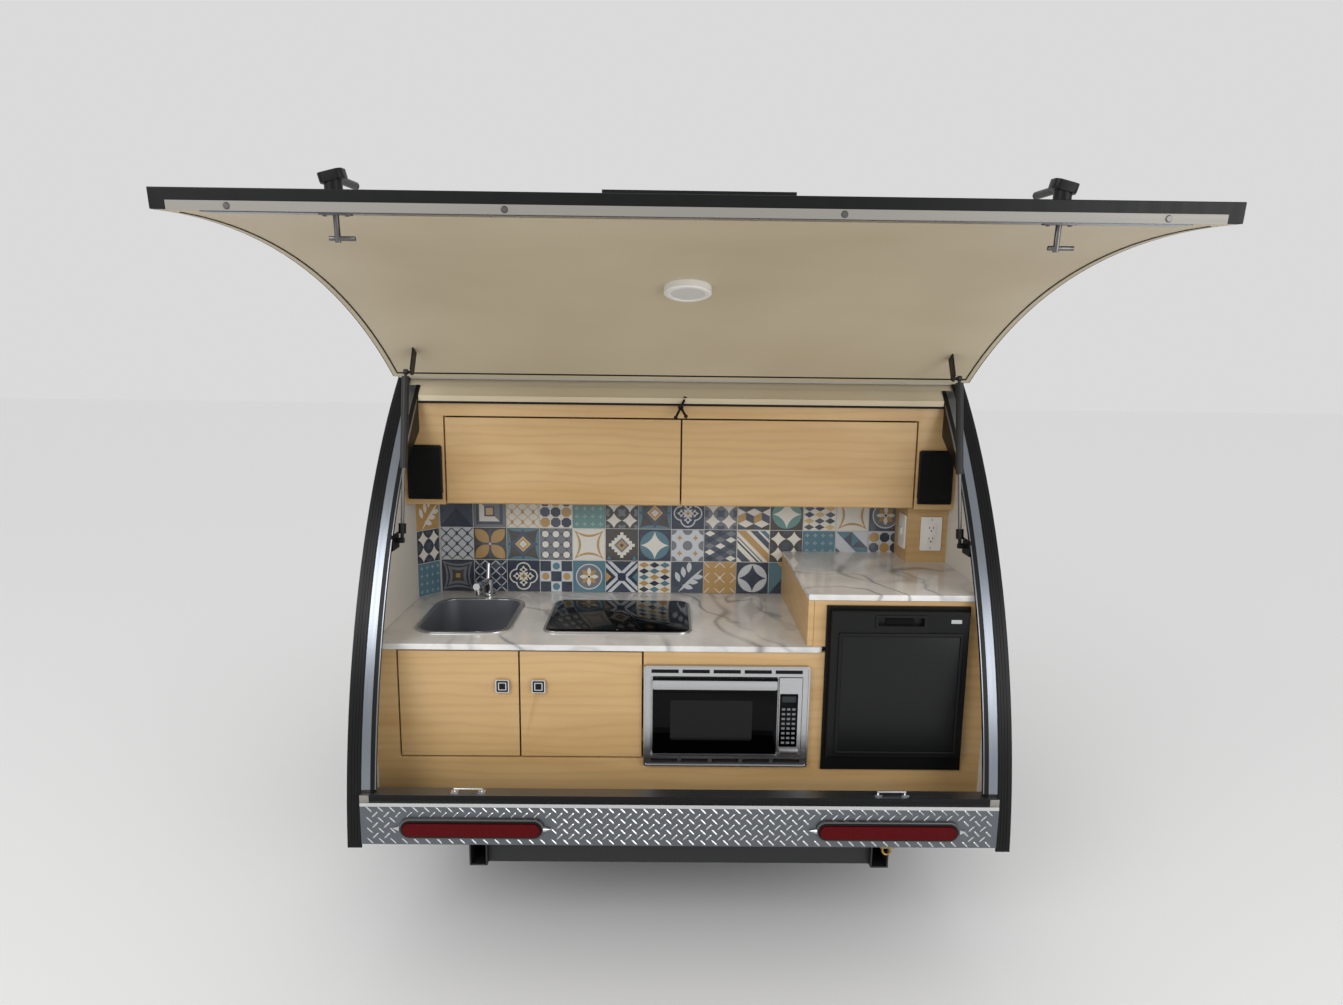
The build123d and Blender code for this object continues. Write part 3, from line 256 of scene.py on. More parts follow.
# %% Birch
birch = Finish("birch", "c6a678", 0.42, coat=0.1)
figure = birch.noise(2.6, detail=5, stretch=(0.5, 1, 3.0), distortion=0.8)
fibres = birch.noise(60, detail=4, stretch=(0.03, 1, 1))
arches = birch.bands(13, (0.16, 1, 0.8), 7.0)
tone = birch.ramp(figure, (0.3, "bc9865"), (0.5, "c4a270"), (0.7, "cbab7b"))
tone = birch.mixed(birch.math("MULTIPLY", birch.math("POWER", arches, 3.0), 0.16), tone, "96703f")
birch.colour(birch.mixed(birch.math("MULTIPLY", fibres, 0.2), tone, "aa8350"))
birch.rough(fibres, 0.34, 0.48)

# %% [markdown]
# ## Marble, linings, cloth and glass
#
# The worktop is a laminate in the look of white marble: soft grey clouds, crossed by dark veins. A vein is
# a wavy band raised to a high power, so that only its crest stays, and a noise fades it in and out. The
# second round of veins is finer and paler.

# %% Marble, linings, cloth and glass
marble = Finish("marble", "d9d6d1", 0.16, coat=0.3)
clouds = marble.noise(3.0, detail=7, distortion=0.8, rough=0.6)
ground = marble.ramp(clouds, (0.3, "bfbfc0"), (0.5, "d8d7d6"), (0.7, "e9e8e6"))
for scale, sharpness, patches, colour in ((1.15, 60.0, 2.1, "5a595f"), (2.6, 30.0, 3.3, "8a898d")):
    fading = marble.ramp(marble.noise(patches, detail=4), (0.44, "000000"), (0.6, "e0e0e0"))
    streaks = marble.bands(scale, (1.0, 0.8, 1.0), 13.0, "DIAGONAL")
    vein = marble.math("MULTIPLY", marble.math("POWER", streaks, sharpness), fading)
    ground = marble.mixed(vein, ground, colour)
marble.colour(ground)
tile_bed = Finish("tile", "c9c7c1", 0.5).worn(90, 0.4, 0.7)
mattress_cloth = Finish("mattress_cloth", "d8d4ca", 0.9).grained(420, 0.3, 0.0006)
window = Finish("window", "30353b", 0.04)
window.shader.inputs["Transmission Weight"].default_value = 0.85
liner = Finish("liner", "c6b99e", 0.6)
liner.colour(liner.ramp(liner.noise(2.0, detail=2), (0.3, "c0b297"), (0.7, "cabea4")))
liner.grained(300, 0.06, 0.0004)
wall_lining = Finish("wall_lining", "cfcbc3", 0.7).grained(200, 0.1, 0.0005)
print("finishes", len(FINISHES))

# %% [markdown]
# ## Finish on every CAD node
#
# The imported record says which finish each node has. A node keeps its vertices and only takes materials.
# Where one solid has two finishes on the real object, a rule on a face's middle and normal picks one.

# %% Dress the nodes
for name, node in frame["nodes"].items():
    node.data.materials.clear()
    node.data.materials.append(FINISHES[slot_of_node[name]].material)


def two_tone(name, finish, rule):
    """Give a node a second finish on the faces whose middle and normal meet a rule."""
    mesh = frame["nodes"][name].data
    mesh.materials.append(finish.material)
    for face in mesh.polygons:
        if rule(face.center, face.normal):
            face.material_index = len(mesh.materials) - 1


for name, finish in (("sink_basin", sink_steel), ("rear_sill", sill_metal),
                     ("strut_rod_left", dark_steel), ("strut_rod_right", dark_steel)):
    frame["nodes"][name].data.materials[0] = finish.material

# %% [markdown]
# ## Shape helpers
#
# Every added detail is one mesh built with bmesh operators, at its place in the trailer, so that its
# object stays at the origin. A piece rides on the body that carries it.

# %% Shape helpers
Z_AXIS = Vector((0, 0, 1))


def finished(name, mesh, finishes, body, slot, replaces=(), smooth_angle=30):
    """Make an object of a mesh, dress it and let it ride on a body."""
    for finish in finishes:
        mesh.materials.append(finish.material)
    made = bpy.data.objects.new(name, mesh)
    bpy.context.scene.collection.objects.link(made)
    mesh.shade_smooth()
    mesh.set_sharp_from_angle(angle=math.radians(smooth_angle))
    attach(made, body)
    if replaces:
        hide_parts(*replaces)
    return made


def piece(name, shape, finishes, body, slot, closed=True, **more):
    """Turn a bmesh into a finished piece."""
    if closed:
        bmesh.ops.recalc_face_normals(shape, faces=shape.faces)
    mesh = bpy.data.meshes.new(name)
    shape.to_mesh(mesh)
    shape.free()
    print(name, "faces", len(mesh.polygons))
    return finished(name, mesh, finishes, body, slot, **more)


def paint(faces, material):
    for face in faces:
        face.material_index = material


def round_off(shape, edges, offset):
    """Round edges with two segments."""
    options = dict(affect="EDGES", offset_type="OFFSET", profile=0.5, material=-1)
    bmesh.ops.bevel(shape, geom=edges, offset=offset, segments=2, **options)


def block(shape, low, high, bevel=0.0, material=0):
    """Add a cuboid between two corners, with rounded edges."""
    low, high = Vector(low), Vector(high)
    verts = bmesh.ops.create_cube(shape, size=1.0)["verts"]
    bmesh.ops.scale(shape, vec=high - low, verts=verts)
    bmesh.ops.translate(shape, vec=(low + high) / 2, verts=verts)
    paint({face for vert in verts for face in vert.link_faces}, material)
    if bevel:
        round_off(shape, list({edge for vert in verts for edge in vert.link_edges}), bevel)


def along(axis):
    """Rotation that turns local Z to an axis."""
    return Z_AXIS.rotation_difference(Vector(axis)).to_matrix().to_4x4()


def out_of(place):
    """Direction of a local frame's third axis."""
    return place.to_3x3() @ Z_AXIS


def disc(shape, centre, axis, radius, depth, material=0, segments=24, top_radius=None):
    """Add a cylinder, or a cone, centred on a point along an axis."""
    place = Matrix.Translation(centre) @ along(axis)
    far = radius if top_radius is None else top_radius
    sizes = dict(radius1=radius, radius2=far, depth=depth, segments=segments)
    made = bmesh.ops.create_cone(shape, cap_ends=True, matrix=place, **sizes)
    paint({face for vert in made["verts"] for face in vert.link_faces}, material)


def bar(shape, start, end, radius, material=0, segments=16):
    """Add a round bar between two points."""
    start, end = Vector(start), Vector(end)
    disc(shape, (start + end) / 2, end - start, radius, (end - start).length, material, segments)


def turned_ring(shape, profile, centre, axis, steps=64, material=0):
    """Add a closed profile of (along, radius) points, spun about an axis."""
    place = Matrix.Translation(centre) @ along(axis)
    verts = [shape.verts.new(place @ Vector((radius, 0, run))) for run, radius in profile]
    edges = [shape.edges.new((verts[i], verts[(i + 1) % len(verts)])) for i in range(len(verts))]
    spin = dict(cent=centre, axis=out_of(place), angle=math.tau, steps=steps)
    before = set(shape.faces)
    bmesh.ops.spin(shape, geom=verts + edges, use_merge=True, **spin)
    paint(set(shape.faces) - before, material)


def dressed(node, bevel, finish=None):
    """Show a merged copy of a CAD node with rounded edges, in place of the node."""
    mesh = frame["nodes"][node].data.copy()
    mesh.name = node + "_finish"
    shape = bmesh.new()
    shape.from_mesh(mesh)
    bmesh.ops.remove_doubles(shape, verts=shape.verts, dist=1e-5)
    limits = dict(angle_limit=math.radians(1), delimit={"MATERIAL"})
    bmesh.ops.dissolve_limit(shape, verts=shape.verts, edges=shape.edges, **limits)
    shape.to_mesh(mesh)
    shape.free()
    if finish:
        mesh.materials.clear()
    used = [finish] if finish else []
    made = finished(mesh.name, mesh, used, body_of_node[node], slot_of_node[node], (node,))
    if bevel:
        rounding = made.modifiers.new("rounding", "BEVEL")
        rounding.width = bevel
        rounding.segments = 2
        rounding.limit_method = "ANGLE"
        rounding.angle_limit = math.radians(40)
        rounding.harden_normals = True
    return made


# %% [markdown]
# ## Walls, jamb and kitchen fronts
#
# The wall is painted outside and lined in pale board inside. The jamb's outer leaf is bright aluminium,
# its inner web, with the gussets under the hinge, is black, and its header has the liner's colour. The
# side doors have steel hinges and a dark seal behind their rim. A strut's rod ends in a black eye.

# %% Two finishes on one solid
WALL_FACE_X, RIM_FACE_X = 0.9146, 0.9203
HINGE_HEIGHTS, HINGE_REACH, KNUCKLE_SIZE = (0.760, 1.380), 0.03, 0.0125
ROD_EYE, HEADER_HALF, WEB_DEPTH, SLAB = 0.062, 0.6, 0.0125, 0.0175

wall_middle_x = sum(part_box("side_wall_right")[i].x for i in (0, 1)) / 2
web_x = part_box("hatch_seal")[1].x - WEB_DEPTH


def lined(at, normal):
    return abs(at.x) < wall_middle_x and abs(normal.x) > 0.9


for side, sign in SIDES:
    two_tone("side_wall_" + side, wall_lining, lined)
    two_tone("door_" + side, wall_lining, lined)
two_tone("jamb_frame", black_trim, lambda at, normal: abs(at.x) < web_x or abs(normal.x) > 0.9)
two_tone("jamb_frame", liner, lambda at, normal: abs(at.x) < HEADER_HALF)
two_tone("upper_cabinet", liner, lambda at, normal: normal.z > 0.5)
slab_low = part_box("counter_raised")[1].z - SLAB
two_tone("counter_raised", birch, lambda at, normal: at.z < slab_low)
for side, sign in SIDES:
    door, rod = "door_" + side, "strut_rod_" + side
    hinge_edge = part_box(door)[1].y - KNUCKLE_SIZE
    rod_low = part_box(rod)[0].z
    two_tone(door, seal_rubber,
             lambda at, normal: WALL_FACE_X < abs(at.x) < RIM_FACE_X and abs(normal.x) < 0.5)
    two_tone(door, steel_bright, lambda at, normal: at.y > hinge_edge and abs(at.x) > WALL_FACE_X
             and min(abs(at.z - height) for height in HINGE_HEIGHTS) < HINGE_REACH)
    two_tone("side_wall_" + side, steel_bright, lambda at, normal: abs(at.x) > WALL_FACE_X)
    two_tone(rod, black_plastic, lambda at, normal: at.z < rod_low + ROD_EYE)

KIT_DEPTH, LOUVRE_Y, FLANGE_DEPTH, KNOB_FACE = 0.0165, (0.0085, 0.0095), 0.0085, 0.2025
kit_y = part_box("microwave_case")[0].y
fridge_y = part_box("fridge_case")[0].y
two_tone("microwave_case", steel_bright, lambda at, normal: at.y < kit_y + KIT_DEPTH)
two_tone("microwave_case", black_plastic, lambda at, normal: LOUVRE_Y[0] < at.y - kit_y < LOUVRE_Y[1])
two_tone("fridge_case", black_plastic, lambda at, normal: at.y < fridge_y + FLANGE_DEPTH)

# %% Rounded copies of the plain solids
LOWER_DOORS = ("lower_door_left", "lower_door_right")
for name in LOWER_DOORS:
    two_tone(name, chrome, lambda at, normal: at.y < rear_plane_y + KNOB_FACE)
    dressed(name, 0.0015)
for name in ("upper_door_left", "upper_door_right"):
    dressed(name, 0.0015, birch)
dressed("counter_main", 0.003, marble)
dressed("counter_raised", 0.003)
for name in ("microwave_door", "fridge_door", "speakers", "battery_box"):
    dressed(name, 0.002, FINISHES[slot_of_node[name]])
for name in ("hatch_trim", "outlet_column", "tongue_frame", "jack_housing", "jack_leg", "coupler"):
    dressed(name, 0.0015, FINISHES[slot_of_node[name]])


# %% [markdown]
# ## Tile wall
#
# Patchwork cement tiles, 115 mm apart, printed with plain geometric motifs in navy, teal, ochre and grey.
# Each tile is a low block, and its print is a set of flat polygons laid over it like a decal, because cut
# shapes stay sharp at any distance. The motifs are the common ones of such tiles, drawn here from
# circles, petals, diamonds and stars.

# %% Tile drawing helpers
TILE_PITCH = 0.1155
TILE_SIZE = 0.1137
TILE_THICKNESS = 0.0016
TILE_RIM = 0.0012
PRINT_STEP = 0.00008
COLOURS = dict(
    navy="1d2b42", slate="3b4657", teal="4a7484", sea="5f8a86", gold="b08c52",
    sand="c9a876", brown="3d3835", grey="6d7178", pale="c4c8ce", cream="d9d5cb",
)


def turned(points, degrees, cx=0.0, cy=0.0):
    """Points turned about the origin and moved."""
    c, s = math.cos(math.radians(degrees)), math.sin(math.radians(degrees))
    return [(cx + x * c - y * s, cy + x * s + y * c) for x, y in points]


def polygon(cx, cy, radius, count, turn=0.0):
    angles = [math.radians(turn) + math.tau * i / count for i in range(count)]
    return [(cx + radius * math.cos(a), cy + radius * math.sin(a)) for a in angles]


def circle(cx, cy, radius):
    return polygon(cx, cy, radius, 28)


def octagon(cx, cy, radius):
    return polygon(cx, cy, radius, 8, 22.5)


def petal(cx, cy, length, width, turn):
    """Pointed leaf about a middle point, its long way turned from X."""
    steps = [i / 9 for i in range(10)]
    upper = [(length * (t - 0.5), width * 2 * t * (1 - t)) for t in steps]
    return turned(upper + [(x, -y) for x, y in upper[-2:0:-1]], turn, cx, cy)


def star(cx, cy, radius, waist, turn=0.0):
    """Four-pointed star with hollow sides; waist is how far in the sides reach."""
    points = []
    for quarter in range(4):
        a = math.radians(turn + 90 * quarter)
        pulls = ((radius, a), (waist, a + math.tau / 8), (radius, a + math.tau / 4))
        for t in (i / 6 for i in range(6)):
            weights = ((1 - t) ** 2, 2 * t * (1 - t), t * t)
            x = sum(w * reach * math.cos(angle) for w, (reach, angle) in zip(weights, pulls))
            y = sum(w * reach * math.sin(angle) for w, (reach, angle) in zip(weights, pulls))
            points.append((cx + x, cy + y))
    return points


def diamond(cx, cy, half_x, half_y=None):
    tall = half_y or half_x
    return [(cx + half_x, cy), (cx, cy + tall), (cx - half_x, cy), (cx, cy - tall)]


def square(cx, cy, half, half_y=None):
    tall = half_y or half
    return [(cx - half, cy - tall), (cx + half, cy - tall), (cx + half, cy + tall), (cx - half, cy + tall)]


def stripe(offset, width, turn):
    """Long bar at an offset from the middle."""
    return turned(square(0, offset, 1, width / 2), turn)


def grid(count):
    """Middles of a square grid of cells over a tile."""
    places = [(i + 0.5) / count - 0.5 for i in range(count)]
    return [(x, y) for y in places for x in places]


def each(places, colour, draw, *sizes):
    """One shape of a colour at each place."""
    return [(colour, draw(x, y, *sizes)) for x, y in places]


def crossed(colour, width, *offsets):
    """Stripes both ways along the tile's diagonals."""
    return [(colour, stripe(offset, width, turn)) for turn in (45, -45) for offset in offsets]


# %% Tile motifs
# Each motif returns its ground colour and its shapes, lowest first, on a tile that runs from -0.5 to 0.5.
RIM_POINTS = ((0, 0), (0.5, 0.5), (-0.5, 0.5), (0.5, -0.5), (-0.5, -0.5),
              (0.5, 0), (-0.5, 0), (0, 0.5), (0, -0.5))


def rings(ground="navy", petals="slate", stars="cream"):
    shapes = each(grid(2), stars, star, 0.24, 0.1)
    shapes += [(petals, petal(x, y, 0.34, 0.16, turn)) for x, y in RIM_POINTS for turn in (45, 135)]
    return ground, shapes


def lattice(ground="pale", lines="navy", seeds="slate"):
    shapes = crossed(lines, 0.03, -0.47, -0.235, 0, 0.235, 0.47)
    return ground, shapes + each(grid(3), seeds, diamond, 0.045, 0.09)


def octagons(ground="cream", first="gold", second="slate", third="navy"):
    picks = (first, second, third, second, third, first, third, first, second)
    return ground, [(colour, octagon(x, y, 0.165)) for colour, (x, y) in zip(picks, grid(3))]


def crosses(ground="teal", marks="pale"):
    arms = ((0.012, 0.055), (0.055, 0.012))
    shapes = [(marks, square(x, y, *half)) for x, y in grid(4) for half in arms]
    return ground, shapes + each(grid(4), ground, square, 0.018)


def star_frame(ground="cream", outer="gold", inner="cream"):
    sizes = ((outer, 0.65, 0.182), (inner, 0.54, 0.108), (ground, 0.2, 0.05))
    return ground, [(colour, star(0, 0, radius, waist, 45)) for colour, radius, waist in sizes]


def gem(ground="teal", points="brown", outer="sand", inner="gold"):
    shapes = [(points, star(0, 0, 0.675, 0.297, 45)), ("slate", star(0, 0, 0.5, 0.2))]
    sizes = ((outer, 0.25), (inner, 0.19), ("cream", 0.12), ("pale", 0.06))
    return ground, shapes + [(colour, diamond(0, 0, half)) for colour, half in sizes]


def harlequin(ground="cream", first="navy", second="gold", third="teal"):
    shapes = []
    for index, (x, y) in enumerate((x, y) for y in (-0.4, -0.2, 0, 0.2, 0.4) for x in (-0.33, 0, 0.33)):
        shapes.append(((first, second, third)[(index * 2 + index // 3) % 3], diamond(x, y, 0.165, 0.095)))
    return ground, shapes


def chequer(ground="pale", dark="navy", accent="gold"):
    shapes = each(grid(3)[::2], dark, square, 1 / 6)
    shapes += each(((0, 1 / 3), (0, -1 / 3)), "teal", octagon, 0.12)
    return ground, shapes + each(((1 / 3, 0), (-1 / 3, 0)), accent, octagon, 0.12)


def circle_star(ground="navy", round_colour="teal", centre="cream"):
    return ground, [(round_colour, circle(0, 0, 0.46)), (centre, star(0, 0, 0.44, 0.12))]


def chevrons(ground="navy", bands="pale", sides="gold"):
    shapes = crossed(bands, 0.26, 0) + crossed(ground, 0.06, 0) + [(ground, square(0, 0, 0.13))]
    tips = ((sides, -1), ("teal", 1))
    return ground, shapes + [(c, [(0.5 * s, -0.17), (0.33 * s, 0), (0.5 * s, 0.17)]) for c, s in tips]


def quatrefoil(ground="navy", lobes="cream", centre="gold"):
    four = ((0.21, 0), (-0.21, 0), (0, 0.21), (0, -0.21))
    shapes = each(four, lobes, circle, 0.24) + each(four, ground, circle, 0.2)
    shapes += [(lobes, petal(x, y, 0.26, 0.12, turn)) for x, y in four for turn in (0, 90)]
    shapes += each(four, ground, circle, 0.045) + [(lobes, star(0, 0, 0.2, 0.08, 45))]
    return ground, shapes + [(centre, star(0, 0, 0.12, 0.04)), (ground, circle(0, 0, 0.025))]


def medallion(ground="teal", ring="pale", first="gold", second="cream"):
    shapes = [(ring, circle(0, 0, 0.42)), ("grey", circle(0, 0, 0.385))]
    for turn in range(0, 360, 45):
        x, y = 0.17 * math.cos(math.radians(turn)), 0.17 * math.sin(math.radians(turn))
        shapes.append((first if turn % 90 else second, petal(x, y, 0.26, 0.13, turn)))
    return ground, shapes + [(second, circle(0, 0, 0.07)), ("brown", circle(0, 0, 0.04))]


def cubes(ground="cream", left="slate", front="gold"):
    shapes = []
    for row, y in enumerate((-0.56, -0.19, 0.18, 0.55)):
        for x in (-0.5, 0, 0.5) if row % 2 else (-0.25, 0.25):
            shapes.append((left, [(x - 0.25, y), (x, y - 0.125), (x, y + 0.125), (x - 0.25, y + 0.25)]))
            face = [(x, y - 0.125), (x + 0.25, y), (x + 0.25, y + 0.25), (x, y + 0.125)]
            shapes.append((front if row % 2 else "brown", face))
    return ground, shapes


def diagonals(ground="cream", first="gold", second="slate", third="navy"):
    rows = ((-0.5, 0.2, second), (-0.24, 0.05, third), (-0.14, 0.03, third),
            (0.08, 0.2, first), (0.36, 0.16, second), (0.56, 0.12, "teal"))
    return ground, [(colour, stripe(offset, width, -45)) for offset, width, colour in rows]


def pinwheel(ground="pale", first="slate", second="teal"):
    shapes = []
    for x, y in grid(2):
        side = 0.25 if x * y > 0 else -0.25
        flat = [(x - 0.25, y - side), (x + 0.25, y - side), (x, y)]
        upright = [(x - side, y - 0.25), (x - side, y + 0.25), (x, y)]
        shapes += [(first if side > 0 else second, flat), (second if x > 0 else first, upright)]
    return ground, shapes


def nested(ground="grey", first="cream", second="slate"):
    corner = [(-0.32, 0.32), (0.32, 0.32), (0.32, -0.32)]
    shapes = [(second, square(0, 0, 0.42)), (first, square(0, 0, 0.32)), (ground, corner)]
    return ground, shapes + [(second, square(0, 0, 0.16)), ("sand", square(0, 0, 0.11))]


def blossom(ground="brown", petals="gold", lines="slate"):
    corners = ((0.25, 0.25), (-0.25, 0.25), (-0.25, -0.25), (0.25, -0.25))
    shapes = [(lines, petal(0, 0, 1.3, 0.12, turn)) for turn in (0, 90)]
    shapes += [(petals, petal(x, y, 0.62, 0.36, 45 if x * y > 0 else 135)) for x, y in corners]
    return ground, shapes + [("pale", circle(0, 0, 0.04))]


def triangles(ground="teal", low="navy", top="gold"):
    shapes = [("slate", [(0.5, 0.5), (0.5, -0.5), (0, 0)]), (low, [(-0.5, -0.5), (0.5, -0.5), (0, 0.12)])]
    shapes.append((top, [(-0.25, 0.5), (0.25, 0.5), (0, 0.22)]))
    return ground, shapes + [("slate", [(0.1, 0.3), (0.5, 0.5), (0.5, 0)])]


def serrated(ground="brown", steps="cream", inner="gold"):
    marks = [i * 0.09 - 0.36 for i in range(9)]
    shapes = [(steps, square(x, y, 0.05)) for x in marks for y in marks if abs(x) + abs(y) < 0.42]
    sizes = (("grey", 0.24), (inner, 0.16), (ground, 0.07))
    shapes += [(colour, diamond(0, 0, half)) for colour, half in sizes]
    return ground, shapes + each(((-0.4, -0.42), (0.4, -0.42)), "teal", polygon, 0.09, 3, 90)


def dots(ground="pale", round_colour="grey", small="gold"):
    return ground, each(RIM_POINTS, round_colour, circle, 0.155) + each(grid(2), small, star, 0.1, 0.03)


def beads(ground="grey", round_colour="cream", dark="slate"):
    return ground, each(grid(3), dark, diamond, 0.17) + each(grid(3), round_colour, octagon, 0.11)


def leaves(ground="slate", leaf="pale"):
    shapes = [(leaf, petal(0.1, -0.1, 1.1, 0.1, 45))]
    shapes += [(leaf, petal(-0.3 + 0.18 * i, 0.02 + 0.16 * i, 0.36, 0.16, 110 - 12 * i)) for i in range(3)]
    return ground, shapes + [
        (leaf, petal(0.02 + 0.16 * i, -0.3 + 0.16 * i, 0.36, 0.16, -18 + 12 * i)) for i in range(3)]


def net(ground="gold", lines="cream"):
    shapes = crossed(lines, 0.025, -0.35, 0, 0.35) + each(grid(2), ground, octagon, 0.13)
    return ground, shapes + [(lines, circle(0, 0, 0.05))]


def framed_star(ground="navy", frame_colour="grey", centre="brown"):
    sizes = ((0.67, frame_colour), (0.56, ground), (0.46, frame_colour), (0.3, centre))
    shapes = [(colour, star(0, 0, radius, 0.4 * radius, 45)) for radius, colour in sizes]
    return ground, shapes + [("gold", square(0, 0, 0.07))]


# %% [markdown]
# The wall has three rows. A row is a list of motifs with the colours that each takes, from the corner tile
# at the left to the outlet column at the right, where the raised counter hides what is behind it.

# %% Tile rows, from the worktop up
ROWS = (
    (crosses("teal"), framed_star(), lattice("navy", "pale", "grey"), quatrefoil(), chequer(), medallion(),
     chevrons(), harlequin(), leaves(), net(), circle_star("navy", "pale", "navy"), triangles(),
     crosses("sea"),
     octagons(), rings(), lattice()),
    (rings(), lattice(), blossom(), gem(), beads(), star_frame(), serrated(), circle_star(), dots(),
     harlequin("slate", "navy", "cream", "grey"), diagonals(), rings("brown"), crosses("teal"), pinwheel(),
     octagons("pale", "navy", "slate", "gold"), medallion()),
    (leaves("gold", "cream"), triangles("slate", "navy", "teal"), nested(), lattice("cream", "sand", "gold"),
     octagons(), crosses("sea"), rings("brown", "grey"), gem(), quatrefoil("navy", "pale", "sand"),
     rings("grey", "slate"), cubes(), circle_star("brown", "sea"),
     harlequin("cream", "slate", "sand", "navy"),
     star_frame(), medallion("slate"), chevrons()),
)


def clipped(points):
    """Part of a polygon that lies on the tile."""
    for axis, sign in ((0, 1), (0, -1), (1, 1), (1, -1)):
        kept = []
        for index, here in enumerate(points):
            before = points[index - 1]
            inside, was_inside = here[axis] * sign <= 0.5, before[axis] * sign <= 0.5
            if inside != was_inside:
                share = (0.5 * sign - before[axis]) / (here[axis] - before[axis])
                kept.append(tuple(before[k] + (here[k] - before[k]) * share for k in (0, 1)))
            if inside:
                kept.append(here)
        points = kept
    return points


# %% Tile finish
tile_print = Finish("tile_print", "808080", 0.22, coat=0.35)
ink = tile_print.node("ShaderNodeVertexColor", layer_name="ink")
wear = tile_print.math("MULTIPLY", tile_print.noise(55, detail=6), 0.16)
tile_print.colour(tile_print.mixed(wear, ink.outputs["Color"], "8f8f8c"))
tile_print.grained(70, 0.04, 0.0004, detail=3)


# %% Build the tile wall
def lay_tile(shape, layer, corner, right, out, width, motif):
    """Add one tile: a low block, and its print in front of it."""
    ground, shapes = motif
    middle = corner + right * (width / 2) + Z_AXIS * (TILE_PITCH / 2)
    top_width, top_height = width - 2 * TILE_RIM, TILE_SIZE - 2 * TILE_RIM

    def spot(x, y, wide, tall, lift):
        return middle + right * (x * wide) + Z_AXIS * (y * tall) + out * lift

    def inked(face, colour):
        for loop in face.loops:
            loop[layer] = srgb(COLOURS[colour])

    layers = [(ground, square(0, 0, 0.5))] + [(colour, clipped(points)) for colour, points in shapes]
    for index, (colour, points) in enumerate(layers):
        if len(points) < 3:
            continue
        lift = TILE_THICKNESS + index * PRINT_STEP
        spots = [spot(x, y, top_width, top_height, lift) for x, y in points]
        face = shape.faces.new([shape.verts.new(at) for at in spots])
        face.normal_update()
        if face.normal.dot(out) < 0:
            face.normal_flip()
        inked(face, colour)
    corners = square(0, 0, 0.5)
    top = [shape.verts.new(spot(x, y, top_width, top_height, TILE_THICKNESS)) for x, y in corners]
    low = [shape.verts.new(spot(x, y, width, TILE_SIZE, 0)) for x, y in corners]
    for i in range(4):
        inked(shape.faces.new((low[i], low[(i + 1) % 4], top[(i + 1) % 4], top[i])), ground)


# The first tile of a row stands across the corner between the side wall and the bulkhead.
BACKING, GROUT, NARROWEST = 0.008, 0.0002, 0.02
COLUMNS_START = -0.8345
splash_low, splash_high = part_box("tile_splash")
wall_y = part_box("bulkhead")[0].y - BACKING
corner_low = Vector((-0.8925, wall_y - 0.085, 0))
corner_high = Vector((-0.8365, wall_y - 0.016, 0))
corner_right = (corner_high - corner_low).normalized()
corner_out = Vector((corner_right.y, -corner_right.x, 0))
tiles = bmesh.new()
ink_layer = tiles.loops.layers.float_color.new("ink")
for row, motifs in enumerate(ROWS):
    row_z = splash_low.z + row * TILE_PITCH
    start = Vector((corner_low.x, corner_low.y, row_z)) + corner_out * GROUT
    lay_tile(tiles, ink_layer, start, corner_right, corner_out, (corner_high - corner_low).length, motifs[0])
    for column, motif in enumerate(motifs[1:]):
        left = COLUMNS_START + column * TILE_PITCH
        width = min(TILE_SIZE, splash_high.x - left)
        if width > NARROWEST:
            corner = Vector((left, wall_y - GROUT, row_z))
            lay_tile(tiles, ink_layer, corner, Vector((1, 0, 0)), Vector((0, -1, 0)), width, motif)
piece("tiles", tiles, [tile_print], "trailer", "tile", closed=False, smooth_angle=5)


# %% [markdown]
# ## Flat fittings
#
# Many fittings are plates or frames with rounded corners: lamp bezels, window trims, wall plates, panels.
# One helper draws them all, in a local frame whose third axis points out of the surface.

# %% Plates and frames
FACING = {
    "rear": ((1, 0, 0), (0, 0, 1), (0, -1, 0)),
    "right": ((0, 1, 0), (0, 0, 1), (1, 0, 0)),
    "left": ((0, -1, 0), (0, 0, 1), (-1, 0, 0)),
    "up": ((1, 0, 0), (0, 1, 0), (0, 0, 1)),
}


def facing(side, centre):
    """Local frame on a surface that faces the rear, the right, the left or up."""
    return Matrix.Translation(centre) @ Matrix(FACING[side]).transposed().to_4x4()


def rear(x, y, z):
    return facing("rear", (x, y, z))


def shifted(place, u, v, w=0.0):
    return place @ Matrix.Translation((u, v, w))


def inset(half, by):
    """Half sizes of a rectangle that lies inside another by a margin."""
    return half[0] - by, half[1] - by


def outline(half, corner, steps=6):
    """Rounded rectangle of (u, v) points."""
    points = []
    for index, (su, sv) in enumerate(((1, 1), (-1, 1), (-1, -1), (1, -1))):
        for step in range(steps + 1):
            angle = math.radians(90 * index + 90 * step / steps)
            u = su * (half[0] - corner) + corner * math.cos(angle)
            v = sv * (half[1] - corner) + corner * math.sin(angle)
            points.append((u, v))
    return points


